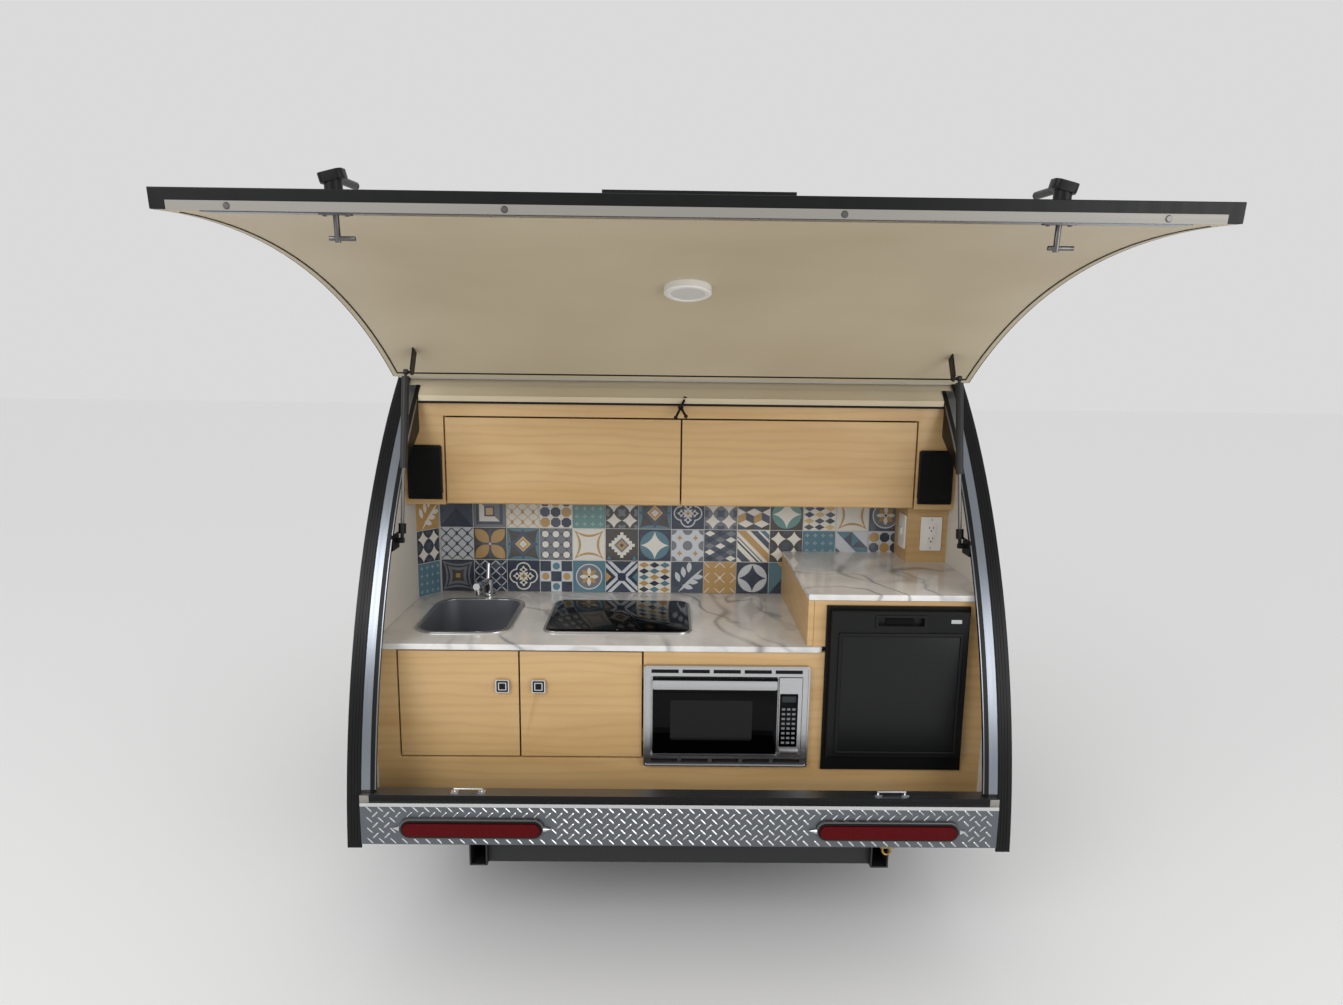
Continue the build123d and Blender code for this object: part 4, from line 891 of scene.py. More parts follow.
def plate(shape, place, half, corner, low, high, hole=None, material=0, bevel=0.0):
    """Rounded plate from a height to another, with an optional hole given as (half, corner)."""
    def loop(points, height):
        return [shape.verts.new(place @ Vector((u, v, height))) for u, v in points]

    outer = outline(half, corner)
    loops = [loop(outer, low), loop(outer, high)]
    if hole:
        inner = outline(*hole)
        loops += [loop(inner, high), loop(inner, low)]
    pairs = list(zip(loops, loops[1:] + loops[:1])) if hole else [(loops[0], loops[1])]
    faces = []
    for first, second in pairs:
        for i in range(len(first)):
            after = (i + 1) % len(first)
            faces.append(shape.faces.new((first[i], first[after], second[after], second[i])))
    if not hole:
        faces += [shape.faces.new(loops[0][::-1]), shape.faces.new(loops[1])]
    paint(faces, material)
    if bevel:
        rims = loops[1:3] if hole else loops[1:]
        edges = [shape.edges.get((rim[i], rim[(i + 1) % len(rim)])) for rim in rims for i in range(len(rim))]
        round_off(shape, edges, bevel)


def box_frame(node, side):
    """Local frame on a node's box, seen from a side, and half the size of that side."""
    low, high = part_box(node)
    middle = (low + high) / 2
    size = (high - low) / 2
    if side == "rear":
        middle.y, half = low.y, (size.x, size.z)
    else:
        middle.z, half = high.z, (size.x, size.y)
    return facing(side, middle), half


# %% [markdown]
# ## Points on the rear arc
#
# The rear edge of the walls and the hatch follow one arc. The hatch rests open, so its details are set on
# the closed arc and swung up about the hinge with it.

# %% Arc helpers
REAR_RADIUS = 1.838
ARC_CENTRE_Z = 0.2765
HINGE_TURN = 48.2
HINGE_OUTSIDE = 0.04
HATCH_SWING = math.radians(75.4)
HATCH_EDGE_TURN = 8.4


def swung_about(y, z, pivot, angle):
    """A point of the side view, turned about the hatch's hinge."""
    c, s = math.cos(angle), math.sin(angle)
    y, z = y - pivot[0], z - pivot[1]
    return pivot[0] + y * c - z * s, pivot[1] + y * s + z * c


def arc_point(turn, outside, x, swung=False):
    """Point at a turn in degrees above the horizontal and a distance outside the arc."""
    def bare(at_turn, distance):
        angle = math.radians(at_turn)
        reach = REAR_RADIUS + distance
        return rear_plane_y + REAR_RADIUS - reach * math.cos(angle), ARC_CENTRE_Z + reach * math.sin(angle)

    y, z = bare(turn, outside)
    if swung:
        y, z = swung_about(y, z, bare(HINGE_TURN, HINGE_OUTSIDE), -HATCH_SWING)
    return Vector((x, y, z))


def arc_turn(z):
    return math.degrees(math.asin((z - ARC_CENTRE_Z) / REAR_RADIUS))


def outside_arc(at):
    """How far outside the arc a point of the open hatch lies when the hatch is shut."""
    pivot = arc_point(HINGE_TURN, HINGE_OUTSIDE, 0).yz
    y, z = swung_about(at.y, at.z, pivot, HATCH_SWING)
    return math.hypot(y - rear_plane_y - REAR_RADIUS, z - ARC_CENTRE_Z) - REAR_RADIUS


def pair_x(side, near, far):
    """Two X on one side of the trailer, the lower one first."""
    return sorted((side * near, side * far))


def arc_block(shape, turns, depths, x, swung=False, steps=32, material=0):
    """Add a bar that follows the arc between two turns, two distances outside it and two X."""
    corners = ((x[0], depths[0]), (x[1], depths[0]), (x[1], depths[1]), (x[0], depths[1]))
    rows = []
    for step in range(steps + 1):
        turn = turns[0] + (turns[1] - turns[0]) * step / steps
        rows.append([shape.verts.new(arc_point(turn, depth, at, swung)) for at, depth in corners])
    faces = [shape.faces.new(rows[0]), shape.faces.new(rows[-1])]
    for low, high in zip(rows, rows[1:]):
        faces += [shape.faces.new((low[i], low[(i + 1) % 4], high[(i + 1) % 4], high[i])) for i in range(4)]
    paint(faces, material)


def hatch_frame(turn, outside, x):
    """Local frame on the open hatch's liner, v up the arc and w towards the arc's centre."""
    here = arc_point(turn, outside, x, True)
    u, v = Vector((-1, 0, 0)), (arc_point(turn + 0.1, outside, x, True) - here).normalized()
    return Matrix.Translation(here) @ Matrix((u, v, u.cross(v))).transposed().to_4x4()


# %% [markdown]
# ## Hatch
#
# The hatch is a curved sandwich panel with a beige liner. A dark bead closes the liner along its sides, an
# aluminium rail stiffens the free edge, and each latch passes through a small steel plate. The lamp in the
# middle is a flat white disc with a frosted lens.

# %% Hatch bead, latch plates and edge strip
LATCH_X, LATCH_TURN = 0.618, HATCH_EDGE_TURN + 1.0
LINER_X, BEAD_DEPTHS = (0.8935, 0.8975), (0.0036, 0.0052)
EDGE_SCREWS_X = (-0.785, -0.325, 0.242, 0.786)

bead = bmesh.new()
for side in (-1, 1):
    arc_block(bead, (HATCH_EDGE_TURN + 1.8, HINGE_TURN - 0.9), BEAD_DEPTHS, pair_x(side, *LINER_X), True)
bead_end = (HINGE_TURN - 1.0, HINGE_TURN - 0.8)
arc_block(bead, bead_end, BEAD_DEPTHS, (-LINER_X[1], LINER_X[1]), True, steps=1)
piece("hatch_bead", bead, [seal_rubber], "hatch", "black_trim")

hardware = bmesh.new()
for side in (-1, 1):
    place = hatch_frame(LATCH_TURN, 0.0028, side * LATCH_X)
    plate(hardware, place, (0.0275, 0.0095), 0.004, -0.0005, 0.0022, ((0.0062, 0.0062), 0.006), bevel=0.0005)
    for offset in (-0.019, 0.019):
        disc(hardware, place @ Vector((offset, 0, 0.003)), out_of(place), 0.0034, 0.0022, segments=12)
edge_turns = (HATCH_EDGE_TURN - 0.06, HATCH_EDGE_TURN + 0.01)
arc_block(hardware, edge_turns, (0.0035, 0.0195), (-0.886, 0.886), True, steps=1, material=1)
down = arc_point(HATCH_EDGE_TURN - 0.1, 0.01, 0, True) - arc_point(HATCH_EDGE_TURN, 0.01, 0, True)
for x in EDGE_SCREWS_X:
    disc(hardware, arc_point(HATCH_EDGE_TURN - 0.08, 0.0115, x, True), down, 0.0065, 0.003, 0, 16, 0.0045)
piece("hatch_screws", hardware, [dark_steel, edge_strip], "hatch", "steel_bright")

# %% Latches
# The left latch is turned over, so that both inner arms point right, as in the photograph.
LINER_FACE, STEM_RADIUS, HEAD_TILT = 0.0045, 0.016, 0.24
two_tone("hatch_fittings", dark_steel, lambda at, normal: abs(at.x) < 0.7 and outside_arc(at) < LINER_FACE)
fittings = dressed("hatch_fittings", 0.0)
turned_over = bmesh.new()
turned_over.from_mesh(fittings.data)
left_latch = [face for face in turned_over.faces if abs(face.calc_center_median().x + LATCH_X) < 0.05]
for vert in {vert for face in left_latch for vert in face.verts}:
    vert.co.x = -2 * LATCH_X - vert.co.x
bmesh.ops.reverse_faces(turned_over, faces=left_latch)
turned_over.to_mesh(fittings.data)
turned_over.free()
stems = [vert.co for vert in fittings.data.vertices if abs(abs(vert.co.x) - LATCH_X) < STEM_RADIUS]
stem_end = max(outside_arc(at) for at in stems)
print("latch faces turned", len(left_latch), "stem end", round(stem_end, 4))
heads = bmesh.new()
for side in (-1, 1):
    place = hatch_frame(LATCH_TURN, stem_end - 0.006, side * LATCH_X)
    tilted = place @ Matrix.Rotation(side * HEAD_TILT, 4, "Y")
    plate(heads, tilted, (0.0215, 0.017), 0.01, -0.008, 0.008, bevel=0.003)
piece("latch_heads", heads, [black_plastic], "hatch", "black_plastic")

# %% Hatch lamp
LAMP_TURN, LAMP_FACE = 30.0, -0.010
lens = bmesh.new()
inward = out_of(hatch_frame(LAMP_TURN, LAMP_FACE, 0))
lamp_middle = arc_point(LAMP_TURN, LAMP_FACE, 0, True)
turned_ring(lens, [(0, 0.042), (0, 0.056), (0.0035, 0.053), (0.0035, 0.045)], lamp_middle, inward, 48)
disc(lens, lamp_middle + inward * 0.0008, inward, 0.0445, 0.0016, 1, 48)
frosted = Finish("frosted_lens", "cfd0cc", 0.5)
frosted.bump(frosted.cells(220), 0.2, 0.0004)
piece("puck_lens", lens, [white_plastic, frosted], "hatch", "white_plastic")

# %% [markdown]
# ## Jamb, seals and header
#
# The trims along the walls' rear edges are ribbed. A bulb seal lies on the sill, a thin strip with an end
# block closes each jamb, and a black line under the header hides the joint between the liner and the wood.

# %% Jamb and sill
RIB_WIDTH, SILL_Z, SEAL_Z, SEAL_RADIUS = 0.004, 0.533, 0.5235, 0.0085
ribs = bmesh.new()
for side in (-1, 1):
    for x in (0.8785, 0.8865, 0.8945, 0.9025):
        turns = (arc_turn(0.385), HINGE_TURN - 0.6)
        arc_block(ribs, turns, (-0.0005, 0.0011), pair_x(side, x, x + RIB_WIDTH), steps=40)
piece("trim_ribs", ribs, [black_trim], "trailer", "black_trim")

ends = bmesh.new()
for side in (-1, 1):
    strip_turns = (arc_turn(0.54), HINGE_TURN - 3)
    arc_block(ends, strip_turns, (-0.006, -0.001), pair_x(side, 0.8356, 0.8385), material=1)
    middle = Vector((side * 0.863, rear_plane_y + 0.0125, 0.5205))
    half = Vector((0.0132, 0.0095, 0.0115))
    block(ends, middle - half, middle + half, 0.002)
piece("strip_end_blocks", ends, [edge_strip, jamb_metal], "trailer", "white_plastic")

bulb = bmesh.new()
seal_end = Vector((0.8385, rear_plane_y + 0.012, SEAL_Z))
bar(bulb, (-seal_end.x, seal_end.y, SEAL_Z), seal_end, SEAL_RADIUS, segments=20)
for side in (-1, 1):
    start = arc_point(arc_turn(0.534), -0.001, side * 0.8445)
    disc(bulb, start, (0, -1, 0), SEAL_RADIUS, 0.012, 0, 20, 0.004)
piece("sill_seal", bulb, [seal_rubber], "trailer", "black_trim")
two_tone("rear_sill", black_trim, lambda at, normal: normal.y < -0.9 and at.z < SILL_Z)
two_tone("rear_sill", chrome, lambda at, normal: at.z > SILL_Z + 0.0004)

# %% Header line and hook
SEAL_HALF, HOOK_DEPTH = 0.835, -0.0035
SEAL_PARTS = ((0.001, -0.016, 0.002, 0, 1), (0.003, -0.0225, -0.0155, 0.001, 0))
jamb_mesh = frame["nodes"]["jamb_frame"].data
header_faces = [face for face in jamb_mesh.polygons if abs(face.center.x) < HEADER_HALF]
header_low = min(jamb_mesh.vertices[index].co.z for face in header_faces for index in face.vertices)
header_y = arc_point(arc_turn(header_low), 0.0, 0).y
print("header's lower edge", round(header_low, 4))
back_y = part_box("upper_cabinet")[0].y + 0.002
seal_line = bmesh.new()
for reach, foot, head, bevel, material in SEAL_PARTS:
    start, end = (-SEAL_HALF, header_y - reach, header_low + foot), (SEAL_HALF, back_y, header_low + head)
    block(seal_line, start, end, bevel, material)
piece("header_seal", seal_line, [seal_rubber, liner], "trailer", "black_trim")
hook = bmesh.new()
hook_z = header_low - 0.024
hub_point = arc_point(arc_turn(hook_z), HOOK_DEPTH, -0.004)
for x, rise in ((-0.02, -0.03), (0.012, -0.026), (0.01, 0.028)):
    tip = arc_point(arc_turn(hook_z + rise), HOOK_DEPTH, x)
    bar(hook, hub_point, tip, 0.004, segments=10)
    disc(hook, tip + Vector((0, 0.002, 0)), (0, -1, 0), 0.0062, 0.006, 0, 12)
disc(hook, hub_point + Vector((0, 0.003, 0)), (0, -1, 0), 0.009, 0.011, 0, 16)
piece("header_hook", hook, [black_plastic], "trailer", "dark_steel")

# %% [markdown]
# ## Bumper and stone guard
#
# Both are aluminium tread plate. The lugs lean left and right in turn, and each one is a low pointed
# ridge, which takes the light as the rolled original does and is coloured lighter than the plate as a
# painted highlight. The lamps sit in dark bezels.

# %% Tread plate lugs
LUG_PITCH, LUG_ROW, LUG_COLUMNS = 0.0315, 0.0155, range(-28, 28)
LUG_HALF, LUG_FLANK, LUG_WIDTH, LUG_HEIGHT = 0.012, 0.007, 0.0022, 0.0014


def lug(shape, place, row):
    """One ridge of the tread plate, which leans the other way in each row."""
    turned_place = place @ Matrix.Rotation(math.radians(45 if row % 2 else -45), 4, "Z")
    base = ((-LUG_HALF, 0), (-LUG_FLANK, -LUG_WIDTH), (LUG_FLANK, -LUG_WIDTH),
            (LUG_HALF, 0), (LUG_FLANK, LUG_WIDTH), (-LUG_FLANK, LUG_WIDTH))
    verts = [shape.verts.new(turned_place @ Vector((u, v, 0))) for u, v in base]
    verts += [shape.verts.new(turned_place @ Vector((u, 0, LUG_HEIGHT))) for u in (-LUG_FLANK, LUG_FLANK)]
    for corners in ((0, 1, 6), (1, 2, 7, 6), (2, 3, 7), (3, 4, 7), (4, 5, 6, 7), (5, 0, 6)):
        shape.faces.new([verts[i] for i in corners])


def near_lamp(x, z):
    return 0.362 < abs(x) < 0.782 and 0.404 < z < 0.477


lugs = bmesh.new()
for row in range(7):
    for column in LUG_COLUMNS:
        x, z = (column + row % 2 / 2) * LUG_PITCH, 0.4 + row * LUG_ROW
        if not near_lamp(x, z) and abs(x) < 0.864:
            lug(lugs, rear(x, rear_plane_y, z), row)
# A thin strip in the lighter lug metal along the bumper's top edge: a painted highlight on that edge.
block(lugs, (-0.8743, rear_plane_y - 0.0008, 0.5015), (0.8743, rear_plane_y + 0.0045, 0.5115))
# The bumper's lugs take the lighter metal: a painted highlight.
piece("bumper_lugs", lugs, [lug_metal_painted_highlight], "trailer", "tread_plate", closed=False, smooth_angle=10)

# The guard is bent over the nose: its rows follow the profile that the CAD plate's front faces give.
guard = bmesh.new()
mesh = frame["nodes"]["tread_plates"].data
front_faces = [face for face in mesh.polygons
               if face.center.y > 0 and abs(face.normal.x) < 0.1 and face.normal.y > 0.2]
corners = [mesh.vertices[i].co for face in front_faces for i in face.vertices]
profile = sorted({(round(corner.z, 5), round(corner.y, 5)) for corner in corners})
travelled = 0.0
guard_row = 0
for (z0, y0), (z1, y1) in zip(profile, profile[1:]):
    run = math.hypot(y1 - y0, z1 - z0)
    up_plate = Vector((0, (y1 - y0) / run, (z1 - z0) / run))
    axes = Matrix(((-1, 0, 0), up_plate, (0, up_plate.z, -up_plate.y))).transposed().to_4x4()
    while travelled < run:
        share = travelled / run
        y, z = y0 + (y1 - y0) * share, z0 + (z1 - z0) * share
        for column in LUG_COLUMNS:
            spot = ((column + guard_row % 2 / 2) * LUG_PITCH, y, z)
            lug(guard, Matrix.Translation(spot) @ axes, guard_row)
        travelled += LUG_ROW
        guard_row += 1
    travelled -= run
print("guard rows", guard_row)
# The guard's lugs take the lighter metal: a painted highlight.
piece("guard_lugs", guard, [lug_metal_painted_highlight], "trailer", "tread_plate", closed=False, smooth_angle=10)

# %% Tail lamp bezels
LAMP_X, LAMP_Z, LENS_HOLE = 0.5705, 0.44, ((0.1878, 0.0193), 0.0192)
bezels = bmesh.new()
for side in (-1, 1):
    place = rear(side * LAMP_X, rear_plane_y - 0.0002, LAMP_Z)
    plate(bezels, place, (0.199, 0.0295), 0.0294, 0, 0.0085, LENS_HOLE, 0, 0.0025)
    plate(bezels, place, (0.1935, 0.0245), 0.0244, 0.0085, 0.011, LENS_HOLE, 1, 0.001)
    for end in (-1, 1):
        disc(bezels, place @ Vector((end * 0.2055, 0, 0.004)), (end, 0, 0), 0.0085, 0.018, 2, 20, 0.0012)
piece("lamp_bezels", bezels, [dark_steel, black_plastic, chrome], "trailer", "dark_steel")

# %% [markdown]
# ## Galley fronts
#
# The lower doors have square push latches, two chrome rings over a dark plate. The microwave sits in a
# brushed trim kit, and its glass door has a darker mesh window. The fridge is black, with a framed panel
# and a recessed grip under its top strip.

# %% Push latches
LATCH_Z = 0.771
for name, x in (("lower_door_left", -0.518), ("lower_door_right", -0.413)):
    knob = bmesh.new()
    place = rear(x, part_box(name)[0].y + 0.0002, LATCH_Z)
    plate(knob, place, (0.0202, 0.0202), 0.004, -0.004, 0.0018, ((0.0165, 0.0165), 0.003), 0, 0.0009)
    plate(knob, place, (0.0122, 0.0122), 0.002, 0, 0.0016, ((0.009, 0.009), 0.0014), 0, 0.0005)
    plate(knob, place, (0.0165, 0.0165), 0.003, -0.002, 0.0004, None, 1)
    piece(name + "_latch", knob, [chrome, black_plastic], body_of_node[name], "chrome")

# %% Microwave door
GLASS_X, GLASS_HALF = 0.09825, (0.17725, 0.0875)
oven_mesh = Finish("oven_mesh", "060709", 0.1, shine=0.25)
door_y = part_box("microwave_door")[0].y
oven = bmesh.new()
plate(oven, rear(GLASS_X, door_y, 0.6725), GLASS_HALF, 0.002, -0.001, 0.0016, None, 0, 0.0006)
plate(oven, rear(0.0905, door_y, 0.6745), (0.1195, 0.0615), 0.006, 0, 0.0019, None, 1)
plate(oven, rear(0.1, door_y, 0.783), (0.181, 0.0135), 0.003, -0.001, 0.004, None, 2, 0.0018)
piece("microwave_glass", oven, [black_glass, oven_mesh, steel_bright], "microwave_door", "black_glass")

# %% Microwave keypad and trim kit
KEYPAD_X, KEY_STEP_X, KEY_STEP_Z, LOWEST_KEY_Z = 0.3165, 0.015, 0.0148, 0.607
key_print = Finish("keys", "6c6f73", 0.5)
display = Finish("display", "10181a", 0.1)
case_y = rear_plane_y + 0.187
keypad = bmesh.new()
plate(keypad, rear(KEYPAD_X, case_y, 0.6755), (0.0265, 0.0815), 0.002, -0.001, 0.0012, None, 0, 0.0005)
plate(keypad, rear(KEYPAD_X, case_y, 0.741), (0.020, 0.009), 0.001, 0, 0.0015, None, 3)
for row in range(8):
    for column in range(3):
        place = rear(0.3015 + column * KEY_STEP_X, case_y, LOWEST_KEY_Z + row * KEY_STEP_Z)
        plate(keypad, place, (0.0048, 0.0032), 0.001, 0, 0.0019, None, 1)
plate(keypad, rear(0.3205, case_y, 0.578), (0.027, 0.0075), 0.002, -0.001, 0.004, None, 2, 0.001)
piece("microwave_keypad", keypad, [black_glass, key_print, steel_bright, display], "trailer", "black_glass")
kit = bmesh.new()
place = rear(0.1345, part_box("microwave_case")[0].y + 0.002, 0.685)
plate(kit, place, (0.2415, 0.155), 0.008, -0.001, 0.0035, ((0.2365, 0.150), 0.006), 0, 0.0012)
piece("microwave_frame", kit, [steel_bright], "trailer", "steel_bright")

# %% Fridge front
fridge_panel = Finish("fridge_panel", "141516", 0.36, shine=0.25).grained(700, 0.08, 0.0002)
cool = bmesh.new()
place, half = box_frame("fridge_door", "rear")
panel = shifted(place, 0.003, -0.026)
panel_half = (half[0] - 0.018, half[1] - 0.036)
plate(cool, panel, panel_half, 0.004, -0.001, 0.0045, (inset(panel_half, 0.01), 0.003), 0, 0.001)
plate(cool, panel, inset(panel_half, 0.011), 0.002, -0.001, 0.0018, None, 1, 0.0006)
grip = shifted(place, 0, half[1] - 0.0285)
plate(cool, grip, (0.074, 0.0185), 0.003, -0.001, 0.0025, ((0.066, 0.0125), 0.002), 0, 0.0006)
plate(cool, shifted(grip, 0, -0.002, -0.012), (0.040, 0.0085), 0.002, 0, 0.004, None, 2)
plate(cool, shifted(place, 0.158, half[1] - 0.026), (0.015, 0.0055), 0.001, 0, 0.0014, None, 3)
panel_finishes = [black_plastic, fridge_panel, black_glass, steel_bright]
piece("fridge_panel", cool, panel_finishes, "fridge_door", "black_plastic")

# %% Speakers
GRILLE_HALF = (0.0545, 0.086)
mesh_cloth = Finish("speaker_mesh", "0a0b0c", 0.7, shine=0.2)
mesh_cloth.bump(mesh_cloth.cells(480), 0.9, 0.0008)
low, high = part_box("speakers")
grilles = bmesh.new()
for side in (-1, 1):
    x = side * (high.x - 0.056)
    place = rear(x, low.y, (low.z + high.z) / 2 - 0.008)
    plate(grilles, place, GRILLE_HALF, 0.005, -0.001, 0.003, ((0.0495, 0.081), 0.004), 0, 0.001)
    plate(grilles, place, (0.0498, 0.0813), 0.004, -0.001, 0.0015, None, 1)
    foot, across = Vector((x, low.y, low.z)), Vector((GRILLE_HALF[0], 0, 0))
    beyond = Vector((0, high.y - low.y, 0.004))
    block(grilles, foot - across - Z_AXIS * 0.016, foot + across + beyond, 0.003)
piece("speaker_grilles", grilles, [black_plastic, mesh_cloth], "trailer", "black_plastic")

# %% Outlet and switch
WALL_PLATE, OUTLET_Z = (0.035, 0.057), 1.152
sockets = bmesh.new()
column_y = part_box("outlet_column")[0].y
outlet = rear(0.837, column_y, OUTLET_Z)
plate(sockets, outlet, WALL_PLATE, 0.004, -0.004, 0.0022, None, 0, 0.0012)
plate(sockets, outlet, (0.0165, 0.034), 0.003, 0.002, 0.0042, None, 0, 0.0008)
for middle_v in (-0.018, 0.018):
    for u, half_v in ((-0.0064, 0.0034), (0.0064, 0.0042)):
        slot_place = shifted(outlet, u, middle_v + 0.003, 0.0042)
        plate(sockets, slot_place, (0.0011, half_v), 0.0005, -0.001, 0.0003, None, 1)
    disc(sockets, outlet @ Vector((0, middle_v - 0.0075, 0.0043)), (0, -1, 0), 0.0026, 0.0006, 1, 12)
for v in (-0.0475, 0.0475):
    disc(sockets, outlet @ Vector((0, v, 0.0026)), (0, -1, 0), 0.0028, 0.0012, 2, 12)
switch = facing("left", (0.759, column_y + 0.055, OUTLET_Z))
plate(sockets, switch, WALL_PLATE, 0.004, 0.0, 0.0045, None, 0, 0.0015)
plate(sockets, switch, (0.0055, 0.0125), 0.001, 0.0045, 0.009, None, 0, 0.001)
piece("outlet_plates", sockets, [white_plastic, black_plastic, steel_bright], "trailer", "white_plastic")

# %% Sink
wet = bmesh.new()
place, half = box_frame("sink_basin", "up")
plate(wet, place, inset(half, -0.001), 0.071, -0.003, 0.0012, (inset(half, 0.0135), 0.0585), 0, 0.001)
drain = Vector((place.translation.x, place.translation.y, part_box("sink_basin")[0].z + 0.0022))
turned_ring(wet, [(0, 0.022), (0, 0.041), (0.003, 0.039), (0.0015, 0.024)], drain, Z_AXIS, 40)
disc(wet, drain + Z_AXIS * 0.0004, Z_AXIS, 0.023, 0.0008, 1, 32)
piece("sink_rim", wet, [steel_bright, black_plastic], "trailer", "dark_steel")

# %% Cooktop
GLASS_RIM, GLASS_CORNER, ZONE_LINE = 0.008, 0.034, 0.0012
zone_mark = Finish("zone_mark", "2b2d30", 0.3)
low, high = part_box("cooktop")
place = facing("up", ((low.x + high.x) / 2, (low.y + high.y) / 2, high.z - 0.008))
half = ((high.x - low.x) / 2, (high.y - low.y) / 2)
glass = inset(half, GLASS_RIM)
stove = bmesh.new()
plate(stove, place, half, 0.042, 0.0002, 0.0055, (glass, GLASS_CORNER), 1, 0.0015)
plate(stove, place, glass, GLASS_CORNER, 0.0002, 0.0062, None, 0, 0.0008)
for x, radius in ((-0.105, 0.088), (0.105, 0.07)):
    thin = [(0, radius - ZONE_LINE), (0, radius), (0.0001, radius), (0.0001, radius - ZONE_LINE)]
    turned_ring(stove, thin, place @ Vector((x, 0.012, 0.0063)), Z_AXIS, 48, 2)
plate(stove, place, inset(half, 0.014), 0.002, -0.0548, 0.0003, None, 2)
disc(stove, place @ Vector((0, -half[1] + 0.022, 0.0064)), Z_AXIS, 0.003, 0.0004, 1, 12)
stove_finishes = [black_glass, steel_bright, zone_mark]
piece("cooktop_glass", stove, stove_finishes, "trailer", "black_glass", replaces=("cooktop",))


# %% [markdown]
# ## Running gear
#
# Tyres get a tread of staggered blocks and shallow grooves in the sidewall, and the rims get lug nuts and a
# valve. The gas bottle has a valve under its collar, and a strap holds the battery box on its tray.

# %% Tyres
def wheel_place(side):
    """Local frame in the middle of a wheel, its third axis along the axle."""
    low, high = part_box("tyre_" + side)
    return Matrix.Translation((low + high) / 2) @ along((1 if side == "right" else -1, 0, 0))


def mirrored(profile):
    return profile + [(-x, r) for x, r in profile[::-1]]


TYRE_PROFILE = mirrored([(0.079, 0.175), (0.0865, 0.19), (0.0888, 0.215), (0.0885, 0.245), (0.083, 0.268),
                         (0.080, 0.284), (0.070, 0.3), (0.062, 0.306), (0.03, 0.3085)])
TREAD_BASE, TREAD_COUNT = 0.3, 60
# Each row of blocks: how far it lies from the middle, half its width, its height and its shift in steps.
TREAD_ROWS = (
    (0.0, 0.012, 0.0128, 0.0), (0.029, 0.0115, 0.0128, 0.5), (-0.029, 0.0115, 0.0128, 0.5),
    (0.056, 0.0105, 0.0115, 0.2), (-0.056, 0.0105, 0.0115, 0.8),
)
for side, _ in SIDES:
    place = wheel_place(side)
    middle, axle = place.translation, out_of(place)
    tyre = bmesh.new()
    turned_ring(tyre, TYRE_PROFILE, middle, axle, 96)
    for radius in (0.2, 0.26):
        line = [(0.0875, radius), (0.0896, radius + 0.0015), (0.0875, radius + 0.003)]
        turned_ring(tyre, line, middle, axle, 96)
    for index in range(TREAD_COUNT):
        around = place @ Matrix.Rotation(math.tau * index / TREAD_COUNT, 4, "Z")
        for x, size, height, shift in TREAD_ROWS:
            turn = Matrix.Rotation(math.tau * shift / TREAD_COUNT, 4, "Z")
            axes = (Matrix.Translation((0, 0, x)) @ Matrix.Translation((TREAD_BASE, 0, 0))
                    @ Matrix.Rotation(math.pi / 2, 4, "Y"))
            plate(tyre, around @ turn @ axes, (size, 0.0135), 0.002, 0, height)
    piece("tyre_" + side + "_tread", tyre, [tyre_rubber], "wheel_" + side, "tyre",
          replaces=("tyre_" + side,), smooth_angle=40)

# %% Lug nuts and valve
NUT_CIRCLE, NUT_FACE, NUT_COUNT = 0.0572, 0.0375, 5
RIM_LINE = [(0.0295, 0.150), (0.0335, 0.152), (0.0335, 0.156), (0.0295, 0.158)]
for side, _ in SIDES:
    place = wheel_place(side)
    axle = out_of(place)
    nuts = bmesh.new()
    for index in range(NUT_COUNT):
        angle = math.tau * index / NUT_COUNT + 0.3
        spot = place @ Vector((NUT_CIRCLE * math.cos(angle), NUT_CIRCLE * math.sin(angle), NUT_FACE))
        disc(nuts, spot, axle, 0.0105, 0.017, 0, 6)
        disc(nuts, spot + axle * 0.01, axle, 0.0095, 0.006, 0, 16, 0.004)
    turned_ring(nuts, RIM_LINE, place.translation, axle, 64)
    disc(nuts, place @ Vector((0.135, 0.0, 0.045)), axle, 0.004, 0.035, 1, 12)
    piece("lug_nuts_" + side, nuts, [chrome, black_plastic], "wheel_" + side, "wheel_alloy")

# %% [markdown]
# ## Doors and windows
#
# Each side door hangs on two strap hinges and closes on a flange, with a black line of trim near its edge.
# The window sits in a black clamp ring, inside and outside, and the paddle handle has a recess and a lock.

